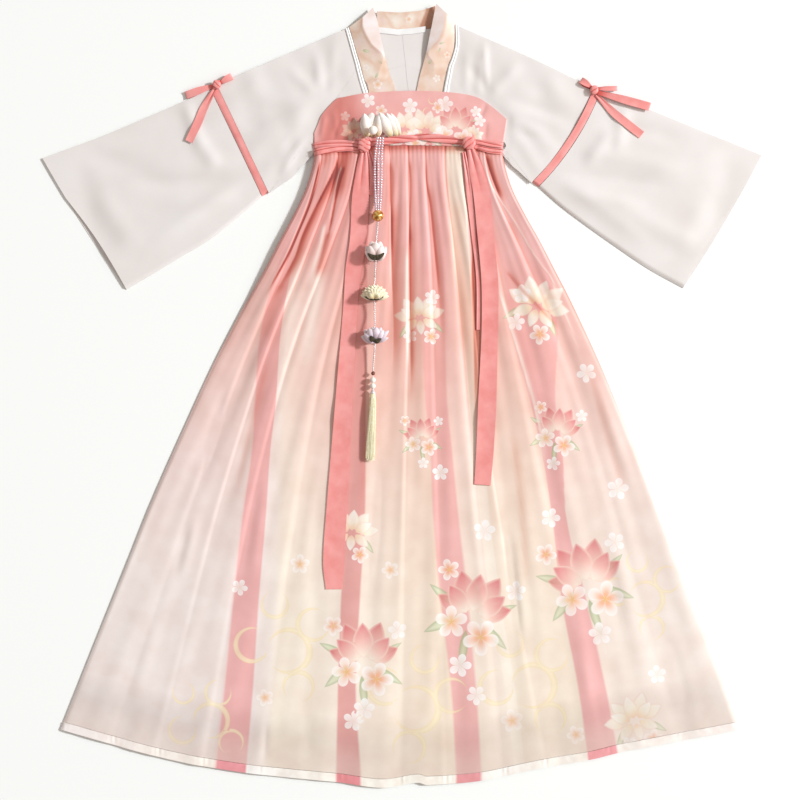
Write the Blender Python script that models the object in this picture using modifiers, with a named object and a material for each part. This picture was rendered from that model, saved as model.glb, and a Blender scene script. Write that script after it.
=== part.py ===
"""A hanfu set laid flat: a sheer robe with wide sleeves under a chest-high pleated skirt.

The garment lies on its back. +X is to the right as seen from above, +Y points to the collar and +Z is up.
The origin is the middle of the outline, on the surface that the cloth rests on.
"""
import math
from collections import namedtuple

import bmesh
import bpy
from mathutils import Matrix, Vector

MM = 0.001

# Driving dimensions, in millimetres
CLOTH = 1.2
GAP = 0.3
LAYER = CLOTH + GAP
SEAM_Y = 424.7
HEM_CORNER_Y = -575.0
SKIRT_DROP = SEAM_Y - HEM_CORNER_Y
SEAM_RISE = 7.0
HEM_BINDING = 13.0
ROBE_TAIL_Y = 88.0
SLEEVE_HEIGHT = 3.0
RIBBON_CLOTH = 1.0
# The chest band rises by its fullness over this distance from its top edge
BAND_FULLNESS = 1.4
BAND_EASE = 60.0

# How far beyond a panel's edge the cloth above it stays lifted, and where it meets the surface again
LIFT_KEPT = 35.0
LIFT_GONE = 95.0
# A layer clears the highest point below it within this distance
CLEAR_REACH = 45.0

# Skirt outline: y, x of the left side, x of the right side
SkirtRow = namedtuple("SkirtRow", "y left right")
SKIRT_SIDES = [
    SkirtRow(424.7, -152.8, 175.4),
    SkirtRow(404.0, -152.5, 176.1),
    SkirtRow(357.4, -165.8, 189.9),
    SkirtRow(309.1, -195.1, 214.1),
    SkirtRow(269.4, -216.7, 236.5),
    SkirtRow(217.6, -243.5, 263.3),
    SkirtRow(165.8, -271.1, 290.1),
    SkirtRow(62.2, -321.2, 338.4),
    SkirtRow(-41.4, -369.5, 381.6),
    SkirtRow(-179.6, -430.8, 436.8),
    SkirtRow(-283.2, -472.2, 474.8),
    SkirtRow(-404.0, -520.6, 520.6),
    SkirtRow(-575.0, -588.8, 581.9),
]

# Hem: place across the skirt from 0 at the left side to 1 at the right, and how far it sags below the corners
HEM_SAG = [
    (0.0, 0.0), (0.155, 50.0), (0.27, 74.0), (0.41, 91.0), (0.475, 100.3), (0.527, 91.5),
    (0.54, 95.5), (0.62, 88.0), (0.706, 67.0), (0.78, 52.0), (0.827, 39.0), (1.0, 0.0),
]

# Pleats: x of each fold line at the chest seam, x where the folds open out, x at the hem, and fold height
Pleat = namedtuple("Pleat", "seam middle hem height")
PLEAT_MIDDLE_Y = 114.0
PLEATS = [
    Pleat(-152.8, -295.2, -588.8, 4.0),
    Pleat(-139.9, -248.6, -500.7, 5.0),
    Pleat(-110.5, -217.6, -421.3, 5.5),
    Pleat(-74.2, -177.8, -340.1, 4.5),
    Pleat(-48.3, -120.9, -241.7, 4.0),
    Pleat(-22.4, -19.0, -107.0, 5.0),
    Pleat(10.4, 12.1, 0.0, 4.5),
    Pleat(40.6, 55.3, 79.4, 5.0),
    Pleat(74.2, 103.6, 177.8, 4.0),
    Pleat(108.8, 127.8, 252.1, 4.5),
    Pleat(127.8, 189.9, 359.1, 5.5),
    Pleat(143.3, 265.9, 480.0, 4.5),
    Pleat(175.4, 315.1, 581.9, 0.0),
]
# One pleat across: place between its fold lines, and share of its height
PLEAT_SECTION = [(0.0, 0.0), (0.25, 0.4), (0.5, 0.8), (0.75, 1.0), (0.9, 0.55), (1.0, 0.0)]
# The share of its height that a pleat has from the seam (0) to the hem (1)
PLEAT_ALONG = [(0.0, 0.3), (0.06, 0.9), (0.2, 1.2), (0.45, 0.9), (0.7, 0.5), (1.0, 0.3)]
SKIRT_ROWS = 15

# Chest band, from the left end to the right: x and y of the top edge, x of the bottom edge
BandColumn = namedtuple("BandColumn", "top_x top_y bottom_x")
BAND = [
    BandColumn(-153.7, 447.2, -153.7),
    BandColumn(-145.0, 467.9, -141.6),
    BandColumn(-136.4, 486.9, -127.8),
    BandColumn(-114.0, 511.1, -107.0),
    BandColumn(-100.1, 515.2, -89.8),
    BandColumn(-62.2, 521.9, -55.3),
    BandColumn(0.0, 525.7, 0.0),
    BandColumn(31.1, 525.9, 31.1),
    BandColumn(84.6, 523.2, 81.2),
    BandColumn(124.3, 516.3, 117.4),
    BandColumn(147.6, 504.2, 141.6),
    BandColumn(176.1, 480.9, 164.0),
    BandColumn(180.6, 475.7, 174.4),
]

# Robe fronts and backs: each row runs from the centre edge, over a middle point, to the outer edge
RobeRow = namedtuple("RobeRow", "inner_x inner_y middle_x middle_y outer_x outer_y")
FRONT_LEFT = [
    RobeRow(-91.5, 635.4, -205.0, 587.0, -319.7, 537.8),
    RobeRow(-86.3, 618.1, -190.0, 550.0, -292.6, 481.3),
    RobeRow(-79.4, 594.0, -173.0, 518.0, -270.0, 434.2),
    RobeRow(-72.5, 571.5, -150.0, 460.0, -229.3, 349.6),
    RobeRow(-65.6, 545.6, -134.0, 450.0, -205.5, 366.0),
    RobeRow(-61.3, 532.0, -120.0, 455.0, -183.0, 384.2),
    RobeRow(-58.0, 522.0, -114.0, 470.0, -174.4, 419.6),
    RobeRow(-54.5, 500.0, -102.0, 475.0, -146.0, 455.0),
    RobeRow(-48.3, 440.0, -96.0, 432.0, -140.0, 420.0),
    RobeRow(-42.5, 373.0, -92.0, 372.0, -138.0, 370.0),
    RobeRow(-41.5, ROBE_TAIL_Y, -90.0, ROBE_TAIL_Y, -138.0, ROBE_TAIL_Y),
]
FRONT_RIGHT = [
    RobeRow(90.7, 640.6, 212.0, 588.0, 330.3, 531.0),
    RobeRow(91.5, 621.6, 206.0, 556.0, 309.4, 486.1),
    RobeRow(90.7, 602.6, 196.0, 528.0, 285.3, 443.5),
    RobeRow(85.5, 583.6, 178.0, 498.0, 256.3, 404.1),
    RobeRow(79.4, 568.0, 150.0, 465.0, 222.9, 367.5),
    RobeRow(76.0, 550.8, 140.0, 460.0, 202.0, 386.8),
    RobeRow(73.4, 538.7, 130.0, 462.0, 186.5, 402.3),
    RobeRow(71.0, 525.0, 124.0, 478.0, 177.1, 436.8),
    RobeRow(64.0, 490.0, 114.0, 458.0, 161.0, 425.0),
    RobeRow(50.5, 407.5, 106.0, 400.0, 160.0, 390.0),
    RobeRow(42.5, 373.0, 100.0, 372.0, 160.0, 370.0),
    RobeRow(41.8, ROBE_TAIL_Y, 100.0, ROBE_TAIL_Y, 160.0, ROBE_TAIL_Y),
]
BACK_LEFT = [
    RobeRow(0.0, 626.5, -89.8, 634.6, -319.7, 537.8),
    RobeRow(2.0, 606.0, -84.0, 606.0, -292.6, 481.3),
    RobeRow(4.0, 588.0, -84.0, 580.0, -270.0, 434.2),
    RobeRow(6.0, 571.0, -90.0, 545.0, -229.3, 349.6),
    RobeRow(7.5, 554.0, -96.0, 515.0, -205.5, 366.0),
    RobeRow(9.0, 540.0, -98.0, 490.0, -183.0, 384.2),
    RobeRow(10.5, 528.0, -100.0, 473.0, -174.4, 419.6),
    RobeRow(12.0, 507.0, -100.0, 460.0, -146.0, 455.0),
    RobeRow(13.5, 470.0, -96.0, 440.0, -140.0, 420.0),
    RobeRow(13.0, 400.0, -92.0, 380.0, -138.0, 370.0),
    RobeRow(0.0, ROBE_TAIL_Y, -90.0, ROBE_TAIL_Y, -138.0, ROBE_TAIL_Y),
]
BACK_RIGHT = [
    RobeRow(0.0, 626.5, 90.0, 639.7, 330.3, 531.0),
    RobeRow(2.0, 606.0, 92.0, 606.0, 309.4, 486.1),
    RobeRow(4.0, 588.0, 92.0, 580.0, 285.3, 443.5),
    RobeRow(5.0, 579.0, 93.0, 560.0, 256.3, 404.1),
    RobeRow(6.0, 571.0, 96.0, 535.0, 222.9, 367.5),
    RobeRow(7.5, 554.0, 102.0, 510.0, 202.0, 386.8),
    RobeRow(9.0, 540.0, 108.0, 490.0, 186.5, 402.3),
    RobeRow(10.5, 528.0, 110.0, 470.0, 177.1, 436.8),
    RobeRow(12.0, 507.0, 108.0, 458.0, 161.0, 425.0),
    RobeRow(13.5, 470.0, 104.0, 420.0, 160.0, 390.0),
    RobeRow(13.0, 400.0, 100.0, 380.0, 160.0, 370.0),
    RobeRow(0.0, ROBE_TAIL_Y, 100.0, ROBE_TAIL_Y, 160.0, ROBE_TAIL_Y),
]

# Lower sleeves: stations from the ribbon seam to the cuff, with the folded top edge, the sewn bottom edge
# and how far the line between them bows towards the cuff
SleeveStation = namedtuple("SleeveStation", "top_x top_y bottom_x bottom_y bow")
SLEEVE_LEFT = [
    SleeveStation(-331.9, 532.3, -240.9, 342.6, 0.0),
    SleeveStation(-367.8, 514.5, -271.1, 316.0, 0.0),
    SleeveStation(-443.7, 481.7, -328.1, 269.4, 1.0),
    SleeveStation(-518.0, 450.7, -376.4, 240.0, 2.0),
    SleeveStation(-569.8, 431.7, -424.8, 210.7, 3.0),
    SleeveStation(-621.6, 412.7, -473.8, 181.3, 4.0),
]
SLEEVE_RIGHT = [
    SleeveStation(342.7, 525.2, 234.2, 359.0, 10.4),
    SleeveStation(385.0, 511.1, 272.8, 324.6, 9.0),
    SleeveStation(433.4, 493.8, 316.0, 291.8, 7.0),
    SleeveStation(497.3, 467.9, 364.3, 257.3, 6.0),
    SleeveStation(559.4, 442.9, 423.0, 217.6, 5.0),
    SleeveStation(621.6, 417.8, 483.4, 183.9, 4.5),
]
# Sleeve ribbons: the ring that goes round the sleeve between the upper and the lower sleeve
SLEEVE_RIBBON_LEFT = [
    SleeveStation(-320.0, 537.6, -229.6, 349.4, 0.0),
    SleeveStation(-331.2, 532.6, -240.3, 343.0, 0.0),
]
SLEEVE_RIBBON_RIGHT = [
    SleeveStation(330.6, 530.8, 223.2, 367.3, 10.4),
    SleeveStation(342.0, 525.6, 233.6, 359.5, 10.4),
]

# Collar strips: outer edge, roll crease and inner edge, with the lift of each above the robe's back
CollarRow = namedtuple(
    "CollarRow", "outer_x outer_y crease_x crease_y inner_x inner_y outer_up crease_up inner_up",
)
COLLAR_LEFT = [
    CollarRow(-90.8, 636.4, -65.6, 651.0, -50.1, 669.1, 1.0, 9.0, 7.0),
    CollarRow(-85.6, 618.4, -55.3, 632.0, -43.2, 649.2, 1.0, 9.0, 6.0),
    CollarRow(-78.6, 594.3, -41.4, 606.1, -36.3, 618.1, 1.0, 8.0, 6.0),
    CollarRow(-71.7, 571.8, -46.6, 580.2, -29.4, 585.3, 0.5, 6.0, 3.5),
    CollarRow(-64.9, 545.9, -41.4, 550.8, -20.7, 552.5, 0.3, 3.0, 1.0),
    CollarRow(-57.5, 527.5, -34.5, 528.5, -12.6, 529.5, 0.0, 0.0, 0.0),
    CollarRow(-47.7, 440.0, -27.6, 441.0, -5.2, 442.0, 0.0, 0.0, 0.0),
    CollarRow(-41.9, 373.0, -22.0, 373.0, -1.2, 373.0, 0.0, 0.0, 0.0),
    CollarRow(-40.9, ROBE_TAIL_Y, -20.7, ROBE_TAIL_Y, -0.7, ROBE_TAIL_Y, 0.0, 0.0, 0.0),
]
COLLAR_RIGHT = [
    CollarRow(90.1, 641.6, 74.2, 661.3, 58.7, 675.1, 1.0, 10.0, 8.0),
    CollarRow(90.9, 621.6, 71.7, 642.3, 53.5, 649.2, 1.0, 10.0, 6.0),
    CollarRow(90.1, 602.3, 62.2, 614.7, 48.3, 623.3, 1.0, 8.0, 6.0),
    CollarRow(84.8, 583.3, 51.8, 592.2, 42.3, 597.4, 0.5, 6.0, 3.5),
    CollarRow(78.7, 567.4, 55.3, 569.8, 36.3, 571.5, 0.3, 3.0, 1.0),
    CollarRow(70.2, 529.5, 48.3, 529.5, 25.9, 529.5, 0.0, 0.0, 0.0),
    CollarRow(49.8, 407.5, 27.0, 408.5, 4.3, 409.5, 0.0, 0.0, 0.0),
    CollarRow(41.8, 373.0, 21.5, 373.0, 1.4, 373.0, 0.0, 0.0, 0.0),
    CollarRow(41.1, ROBE_TAIL_Y, 20.7, ROBE_TAIL_Y, 0.7, ROBE_TAIL_Y, 0.0, 0.0, 0.0),
]
# Back collar: x, y of the free edge, y of the neck seam
BackCollarColumn = namedtuple("BackCollarColumn", "x free_y seam_y")
COLLAR_BACK = [
    BackCollarColumn(-43.2, 663.0, 631.6),
    BackCollarColumn(-24.2, 662.0, 629.8),
    BackCollarColumn(-6.9, 661.0, 627.8),
    BackCollarColumn(15.5, 662.5, 629.5),
    BackCollarColumn(34.5, 665.5, 632.2),
    BackCollarColumn(50.1, 670.0, 634.5),
]
NECK_TAPE_HALF = 44.0
NECK_TAPE_MIDDLE_X = -3.0

# Ribbons: points along the middle of each one, with its width there
RibbonPoint = namedtuple("RibbonPoint", "x y width")
TIES = {
    "tie_left_upper": [
        RibbonPoint(-153.7, 430.5, 9.0), RibbonPoint(-128.0, 434.5, 9.5),
        RibbonPoint(-100.0, 435.5, 9.5), RibbonPoint(-78.5, 433.5, 9.0),
    ],
    "tie_left_lower": [
        RibbonPoint(-152.0, 417.0, 8.0), RibbonPoint(-128.0, 422.0, 9.0),
        RibbonPoint(-100.0, 424.0, 9.0), RibbonPoint(-78.5, 423.0, 8.0),
    ],
    "tie_centre_left": [
        RibbonPoint(-51.5, 438.0, 12.0), RibbonPoint(-20.0, 440.5, 14.0), RibbonPoint(12.0, 443.5, 14.0),
        RibbonPoint(29.0, 444.5, 11.0),
    ],
    "tie_centre_right": [
        RibbonPoint(32.0, 446.0, 13.0), RibbonPoint(60.0, 444.0, 15.0), RibbonPoint(86.0, 441.0, 14.0),
        RibbonPoint(101.5, 438.5, 12.0),
    ],
    "tie_right_upper": [
        RibbonPoint(128.5, 437.5, 9.0), RibbonPoint(150.0, 434.5, 9.5), RibbonPoint(176.0, 432.0, 9.0),
    ],
    "tie_right_lower": [
        RibbonPoint(128.5, 427.0, 8.0), RibbonPoint(150.0, 423.0, 9.0), RibbonPoint(176.0, 419.5, 8.0),
    ],
}
HANGING_RIBBONS = {
    "ribbon_left": [
        RibbonPoint(-66.0, 413.0, 22.0), RibbonPoint(-68.0, 380.0, 26.0), RibbonPoint(-72.0, 330.0, 28.0),
        RibbonPoint(-75.1, 269.4, 29.0), RibbonPoint(-84.0, 215.0, 27.0), RibbonPoint(-87.9, 165.8, 24.5),
        RibbonPoint(-100.1, -6.9, 29.0), RibbonPoint(-111.4, -179.6, 35.0), RibbonPoint(-118.0, -284.9, 36.0),
        RibbonPoint(-117.5, -333.0, 28.0),
    ],
    "ribbon_left_short": [
        RibbonPoint(-50.0, 414.0, 6.0), RibbonPoint(-48.5, 395.0, 9.0), RibbonPoint(-48.0, 370.0, 7.0),
    ],
    "ribbon_right": [
        RibbonPoint(121.0, 413.0, 24.0), RibbonPoint(134.7, 372.9, 31.0), RibbonPoint(142.4, 286.6, 27.0),
        RibbonPoint(151.0, 200.3, 29.0), RibbonPoint(151.0, 114.0, 28.0), RibbonPoint(146.8, -6.9, 31.0),
        RibbonPoint(143.0, -93.2, 30.0), RibbonPoint(138.5, -153.0, 28.0),
    ],
    "ribbon_right_under": [
        RibbonPoint(103.0, 411.0, 7.0), RibbonPoint(112.5, 372.9, 7.5), RibbonPoint(122.5, 286.6, 7.0),
        RibbonPoint(131.0, 200.3, 6.0), RibbonPoint(131.5, 114.0, 6.0),
    ],
}
# Knots of the tie: x, y, half width, half length, height
KnotSize = namedtuple("KnotSize", "x y half_x half_y height")
TIE_KNOTS = {
    "tie_knot_left": KnotSize(-65.0, 429.0, 12.5, 13.0, 10.0),
    "tie_knot_right": KnotSize(115.0, 433.0, 12.5, 14.0, 10.0),
}

# The sleeve ribbons cover the sleeve beyond these distances from the middle, where their bows are
BOW_SEAM_LEFT = 311.0
BOW_SEAM_RIGHT = 325.0
# Bows on the sleeve ribbons: the knot, the loops (root and tip) and the tail
BowLoop = namedtuple("BowLoop", "root_x root_y tip_x tip_y width")
BOWS = {
    "bow_left": {
        "knot": KnotSize(-319.0, 536.5, 7.0, 8.0, 7.0),
        "loops": [BowLoop(-310.5, 541.5, -296.0, 549.5, 10.0), BowLoop(-327.5, 533.5, -371.0, 519.0, 11.0)],
        "tail": [
            RibbonPoint(-327.0, 524.0, 10.0), RibbonPoint(-341.0, 497.0, 13.0), RibbonPoint(-352.0, 470.0, 14.0),
            RibbonPoint(-367.0, 438.0, 13.0),
        ],
    },
    "bow_right": {
        "knot": KnotSize(331.0, 527.0, 7.0, 8.0, 7.0),
        "loops": [
            BowLoop(321.6, 534.0, 311.0, 543.0, 9.0),
            BowLoop(338.9, 531.5, 371.0, 530.0, 7.0),
            BowLoop(339.6, 522.5, 425.0, 498.0, 12.0),
        ],
        "tail": [
            RibbonPoint(340.0, 511.0, 10.0), RibbonPoint(364.0, 489.0, 13.0), RibbonPoint(387.0, 470.0, 14.0),
            RibbonPoint(413.0, 450.0, 14.0),
        ],
    },
}

# Ornament: cloth flowers seen from the side, each with its opening towards the collar
Flower = namedtuple("Flower", "x base_y length radius flatness petals")
FLOWERS = {
    "pendant_flower_top": Flower(-35.5, 443.5, 44.0, 34.0, 0.32, 9),
    "pendant_lotus": Flower(-44.9, 233.0, 33.0, 20.5, 0.62, 8),
    "pendant_cream_flower": Flower(-47.5, 164.5, 31.0, 23.5, 0.55, 9),
    "pendant_lilac_flower": Flower(-46.6, 89.8, 29.0, 24.0, 0.54, 8),
}
# One flower from its cap to the opening: share of its length, share of its radius
FLOWER_PROFILE = [(0.0, 0.12), (0.12, 0.45), (0.4, 0.85), (0.7, 1.0), (0.92, 0.8), (1.0, 0.45)]
# How far the petals reach past the flower's radius, as a share of it
PETAL_REACH = 1.09
Bead = namedtuple("Bead", "x y radius")
PEARL_SMALL_RADIUS = 5.0
BEADS = {
    "pendant_gold_bead": Bead(-41.4, 309.1, 10.0),
    "pendant_brown_bead": Bead(-49.6, 38.8, 3.6),
    "pendant_pearl_upper": Bead(-49.9, 27.4, PEARL_SMALL_RADIUS),
    "pendant_pearl_lower": Bead(-50.1, 16.6, PEARL_SMALL_RADIUS),
}
PEARL = Bead(-49.2, 452.0, 7.8)
THREAD_RADIUS = 0.6
THREAD_HOLE = 1.4
CORD_TOP_Y = 298.5
CORD_END_Y = 11.6
CORD_STEP = 7.0
BEAD_STRING_RADIUS = 1.7
BEAD_STRINGS = {
    "pendant_string_left": [(-42.0, 442.0), (-46.5, 410.0), (-47.0, 375.0), (-46.0, 345.0), (-44.9, 319.2)],
    "pendant_string_middle": [(-37.5, 442.0), (-40.8, 410.0), (-41.3, 375.0), (-41.4, 345.0), (-41.4, 319.4)],
    "pendant_string_right": [(-33.0, 442.0), (-35.2, 410.0), (-35.6, 375.0), (-36.6, 345.0), (-37.9, 319.2)],
}
CAP_TOP_Y = 11.3
CAP_END_Y = 4.3
CAP_TOP_RADIUS = 1.8
CAP_END_RADIUS = 4.7
TASSEL_TOP_Y = 4.0
TASSEL_HEAD_Y = -0.5
TASSEL_END_Y = -112.0
TASSEL_HALF_WIDTH = 4.2
TASSEL_COLUMNS = 8
TASSEL_LAYERS = 4


def smooth(share):
    share = min(1.0, max(0.0, share))
    return share * share * (3.0 - 2.0 * share)


def straight(table, place):
    """Reads a table of (place, value) pairs with straight lines between its rows."""
    if place <= table[0][0]:
        return table[0][1]
    for (start, low), (end, high) in zip(table, table[1:]):
        if place <= end:
            return low + (high - low) * (place - start) / (end - start)
    return table[-1][1]


def eased(table, place):
    """Reads a table of (place, value) pairs along a smooth curve through its rows."""
    last = len(table) - 1
    place = min(table[last][0], max(table[0][0], place))
    index = 0
    while index < last - 1 and place > table[index + 1][0]:
        index += 1

    def slope(at):
        before = max(0, at - 1)
        after = min(last, at + 1)
        return (table[after][1] - table[before][1]) / (table[after][0] - table[before][0])

    start, low = table[index]
    end, high = table[index + 1]
    span = end - start
    share = (place - start) / span
    cube = share ** 3
    square = share ** 2
    return (
        (2 * cube - 3 * square + 1) * low
        + (cube - 2 * square + share) * span * slope(index)
        + (3 * square - 2 * cube) * high
        + (cube - square) * span * slope(index + 1)
    )


def highest(surface, x, y, reach_x, reach_y):
    """Highest point of a surface around a place, so that what lies there rests on its ridges."""
    steps = (-1.0, -0.5, 0.0, 0.5, 1.0)
    return max(surface(x + reach_x * a, y + reach_y * b) for a in steps for b in steps)


LEFT_SIDE = [(-row.y, row.left) for row in SKIRT_SIDES]
RIGHT_SIDE = [(-row.y, row.right) for row in SKIRT_SIDES]
BAND_TOP = [(column.top_x, column.top_y) for column in BAND]


def skirt_left(y):
    return eased(LEFT_SIDE, -y)


def skirt_right(y):
    return eased(RIGHT_SIDE, -y)


def seam_bow(across):
    """The chest seam is a little higher in the middle than at the sides."""
    return SEAM_RISE * 4.0 * across * (1.0 - across)


def seam_height(x):
    """Y of the chest seam above a place along it."""
    seam_left = PLEATS[0].seam
    seam_right = PLEATS[-1].seam
    return SEAM_Y + seam_bow((x - seam_left) / (seam_right - seam_left))


def skirt_place(across, down):
    """Point of the skirt's outline plane: across from 0 to 1, down from the chest seam (0) to the hem (1)."""
    level = SEAM_Y - SKIRT_DROP * down
    left = skirt_left(level)
    x = left + across * (skirt_right(level) - left)
    y = level + seam_bow(across) * (1.0 - down) ** 2 - eased(HEM_SAG, across) * down ** 1.6
    return x, y


def fold_share(index, down):
    """How far across the skirt a fold line is, at a place down its length."""
    pleat = PLEATS[index]
    middle_down = (SEAM_Y - PLEAT_MIDDLE_Y) / SKIRT_DROP
    shares = []
    for place, x in ((0.0, pleat.seam), (middle_down, pleat.middle), (1.0, pleat.hem)):
        level = SEAM_Y - SKIRT_DROP * place
        left = skirt_left(level)
        shares.append((place, (x - left) / (skirt_right(level) - left)))
    return min(1.0, max(0.0, eased(shares, down)))


def pleat_rise(index, part, down):
    return PLEATS[index].height * straight(PLEAT_SECTION, part) * straight(PLEAT_ALONG, down)


def outside_skirt(x, y):
    """Distance from the skirt and chest band, nothing or less where they are."""
    if y > SEAM_Y:
        left = BAND[0].top_x
        right = BAND[-1].top_x
    else:
        left = skirt_left(y)
        right = skirt_right(y)
    return max(left - x, x - right, y - straight(BAND_TOP, x))


def outside_tail(x, y):
    """Distance from the part of the robe that lies inside the skirt."""
    return max(BACK_LEFT[-1].outer_x - x, x - BACK_RIGHT[-1].outer_x, ROBE_TAIL_Y - y)


def lift(distance):
    return smooth((LIFT_GONE - distance) / (LIFT_GONE - LIFT_KEPT))


def robe_back_level(x, y):
    return LAYER * lift(outside_skirt(x, y))


def robe_front_level(x, y):
    return highest(robe_back_level, x, y, CLEAR_REACH, CLEAR_REACH) + LAYER


def lining_level(x, y):
    return LAYER + 2.0 * LAYER * lift(outside_tail(x, y))


def band_level(x, y):
    """Underside of the chest band: flat at its top edge and a little full below."""
    fullness = smooth((straight(BAND_TOP, x) - y) / BAND_EASE)
    return robe_front_level(x, y) + LAYER + BAND_FULLNESS * fullness


def skirt_level(x, y):
    return highest(lining_level, x, y, CLEAR_REACH, CLEAR_REACH) + LAYER


def skirt_share(x, y):
    """The place across and down the skirt that lies over a point."""
    down = (SEAM_Y - y) / SKIRT_DROP
    across = 0.5
    for _ in range(8):
        down = min(1.0, max(0.0, down))
        level = SEAM_Y - SKIRT_DROP * down
        left = skirt_left(level)
        across = min(1.0, max(0.0, (x - left) / (skirt_right(level) - left)))
        bow = seam_bow(across) * (1.0 - down) ** 2
        sag = eased(HEM_SAG, across) * down ** 1.6
        down = (SEAM_Y + bow - sag - y) / SKIRT_DROP
    return across, min(1.0, max(0.0, down))


def skirt_top(x, y):
    """Height of the skirt's upper face over a point."""
    across, down = skirt_share(x, y)
    rise = 0.0
    for index in range(len(PLEATS) - 1):
        start = fold_share(index, down)
        end = fold_share(index + 1, down)
        if start <= across <= end and end > start:
            rise = pleat_rise(index, (across - start) / (end - start), down)
    return skirt_level(x, y) + rise + CLOTH


def front_top(x, y):
    """Height of whatever front lies uppermost over a point: chest band or skirt."""
    if y > seam_height(x):
        return band_level(x, y) + CLOTH
    return skirt_top(x, y)


def sleeve_top(x, y):
    """Height of the upper sleeve, or of the sleeve ribbon and lower sleeve further out."""
    if -BOW_SEAM_LEFT < x < BOW_SEAM_RIGHT:
        return robe_front_level(x, y) + CLOTH
    return SLEEVE_HEIGHT + RIBBON_CLOTH


def seat_height(surface, x, y, radius):
    """Height of the middle of a ball that lies on a surface without touching it."""
    steps = (-0.9, -0.6, -0.3, 0.0, 0.3, 0.6, 0.9)
    heights = []
    for a in steps:
        for b in steps:
            if a * a + b * b < 0.9:
                lower = radius * math.sqrt(1.0 - a * a - b * b)
                heights.append(surface(x + radius * a, y + radius * b) + lower)
    return max(heights) + GAP


def linear_channel(value):
    if value <= 0.04045:
        return value / 12.92
    return ((value + 0.055) / 1.055) ** 2.4


def make_material(name, hex_colour, roughness, metallic=0.0):
    material = bpy.data.materials.new(name)
    material.use_nodes = True
    shader = material.node_tree.nodes["Principled BSDF"]
    channels = [linear_channel(int(hex_colour[at:at + 2], 16) / 255.0) for at in (1, 3, 5)]
    shader.inputs["Base Color"].default_value = (*channels, 1.0)
    shader.inputs["Roughness"].default_value = roughness
    shader.inputs["Metallic"].default_value = metallic
    return material


def finish(name, mesh_builder, material, smooth_angle=50.0):
    """Turns a bmesh in millimetres into a named object in metres."""
    bmesh.ops.recalc_face_normals(mesh_builder, faces=mesh_builder.faces[:])
    bmesh.ops.scale(mesh_builder, vec=Vector((MM, MM, MM)), verts=mesh_builder.verts[:])
    mesh = bpy.data.meshes.new(name)
    mesh_builder.to_mesh(mesh)
    mesh_builder.free()
    mesh.shade_smooth()
    mesh.set_sharp_from_angle(angle=math.radians(smooth_angle))
    mesh.materials.append(material)
    thing = bpy.data.objects.new(name, mesh)
    parts.objects.link(thing)
    return thing


def panel(name, material, place, underside, columns, rows, thickness=CLOTH):
    """A cloth wall: place(u, v) gives x and y, underside(x, y, u, v) the height of its lower face."""
    builder = bmesh.new()
    bmesh.ops.create_grid(builder, x_segments=columns, y_segments=rows, size=0.5)
    for vertex in builder.verts:
        u = round((vertex.co.x + 0.5) * columns) / columns
        v = round((vertex.co.y + 0.5) * rows) / rows
        x, y = place(u, v)
        vertex.co = Vector((x, y, underside(x, y, u, v)))
    raised = bmesh.ops.extrude_face_region(builder, geom=builder.faces[:])
    upper = [item for item in raised["geom"] if isinstance(item, bmesh.types.BMVert)]
    bmesh.ops.translate(builder, vec=Vector((0.0, 0.0, thickness)), verts=upper)
    return finish(name, builder, material)


def ring_solid(name, material, place, around, along):
    """A solid that closes on itself both ways: place(i, j) gives the point of each ring and step."""
    builder = bmesh.new()
    bmesh.ops.create_grid(builder, x_segments=around, y_segments=along, size=0.5)
    for vertex in builder.verts:
        i = round((vertex.co.x + 0.5) * around) % around
        j = round((vertex.co.y + 0.5) * along) % along
        vertex.co = Vector(place(i, j))
    bmesh.ops.remove_doubles(builder, verts=builder.verts[:], dist=0.001)
    return finish(name, builder, material)


def along_rows(rows, v):
    """The two rows on either side of a place down a panel, and the share between them."""
    place = v * (len(rows) - 1)
    index = min(len(rows) - 2, int(place))
    return rows[index], rows[index + 1], place - index


def robe_place(rows):
    def place(u, v):
        first, second, share = along_rows(rows, v)
        values = [a + (b - a) * share for a, b in zip(first, second)]
        inner, middle, outer = values[0:2], values[2:4], values[4:6]
        if u <= 0.5:
            return tuple(a + (b - a) * u * 2.0 for a, b in zip(inner, middle))
        return tuple(a + (b - a) * (u - 0.5) * 2.0 for a, b in zip(middle, outer))
    return place


def build_robe(sheer):
    rows = {
        "robe_front_left": (FRONT_LEFT, robe_front_level),
        "robe_front_right": (FRONT_RIGHT, robe_front_level),
        "robe_back_left": (BACK_LEFT, robe_back_level),
        "robe_back_right": (BACK_RIGHT, robe_back_level),
    }
    for name, (table, level) in rows.items():
        seam = GAP if name == "robe_back_right" else 0.0
        spread = robe_place(table)
        panel(
            name, sheer,
            lambda u, v, spread=spread, seam=seam: (spread(u, v)[0] + seam, spread(u, v)[1]),
            lambda x, y, u, v, level=level: level(x, y),
            columns=8, rows=len(table) - 1,
        )


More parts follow.
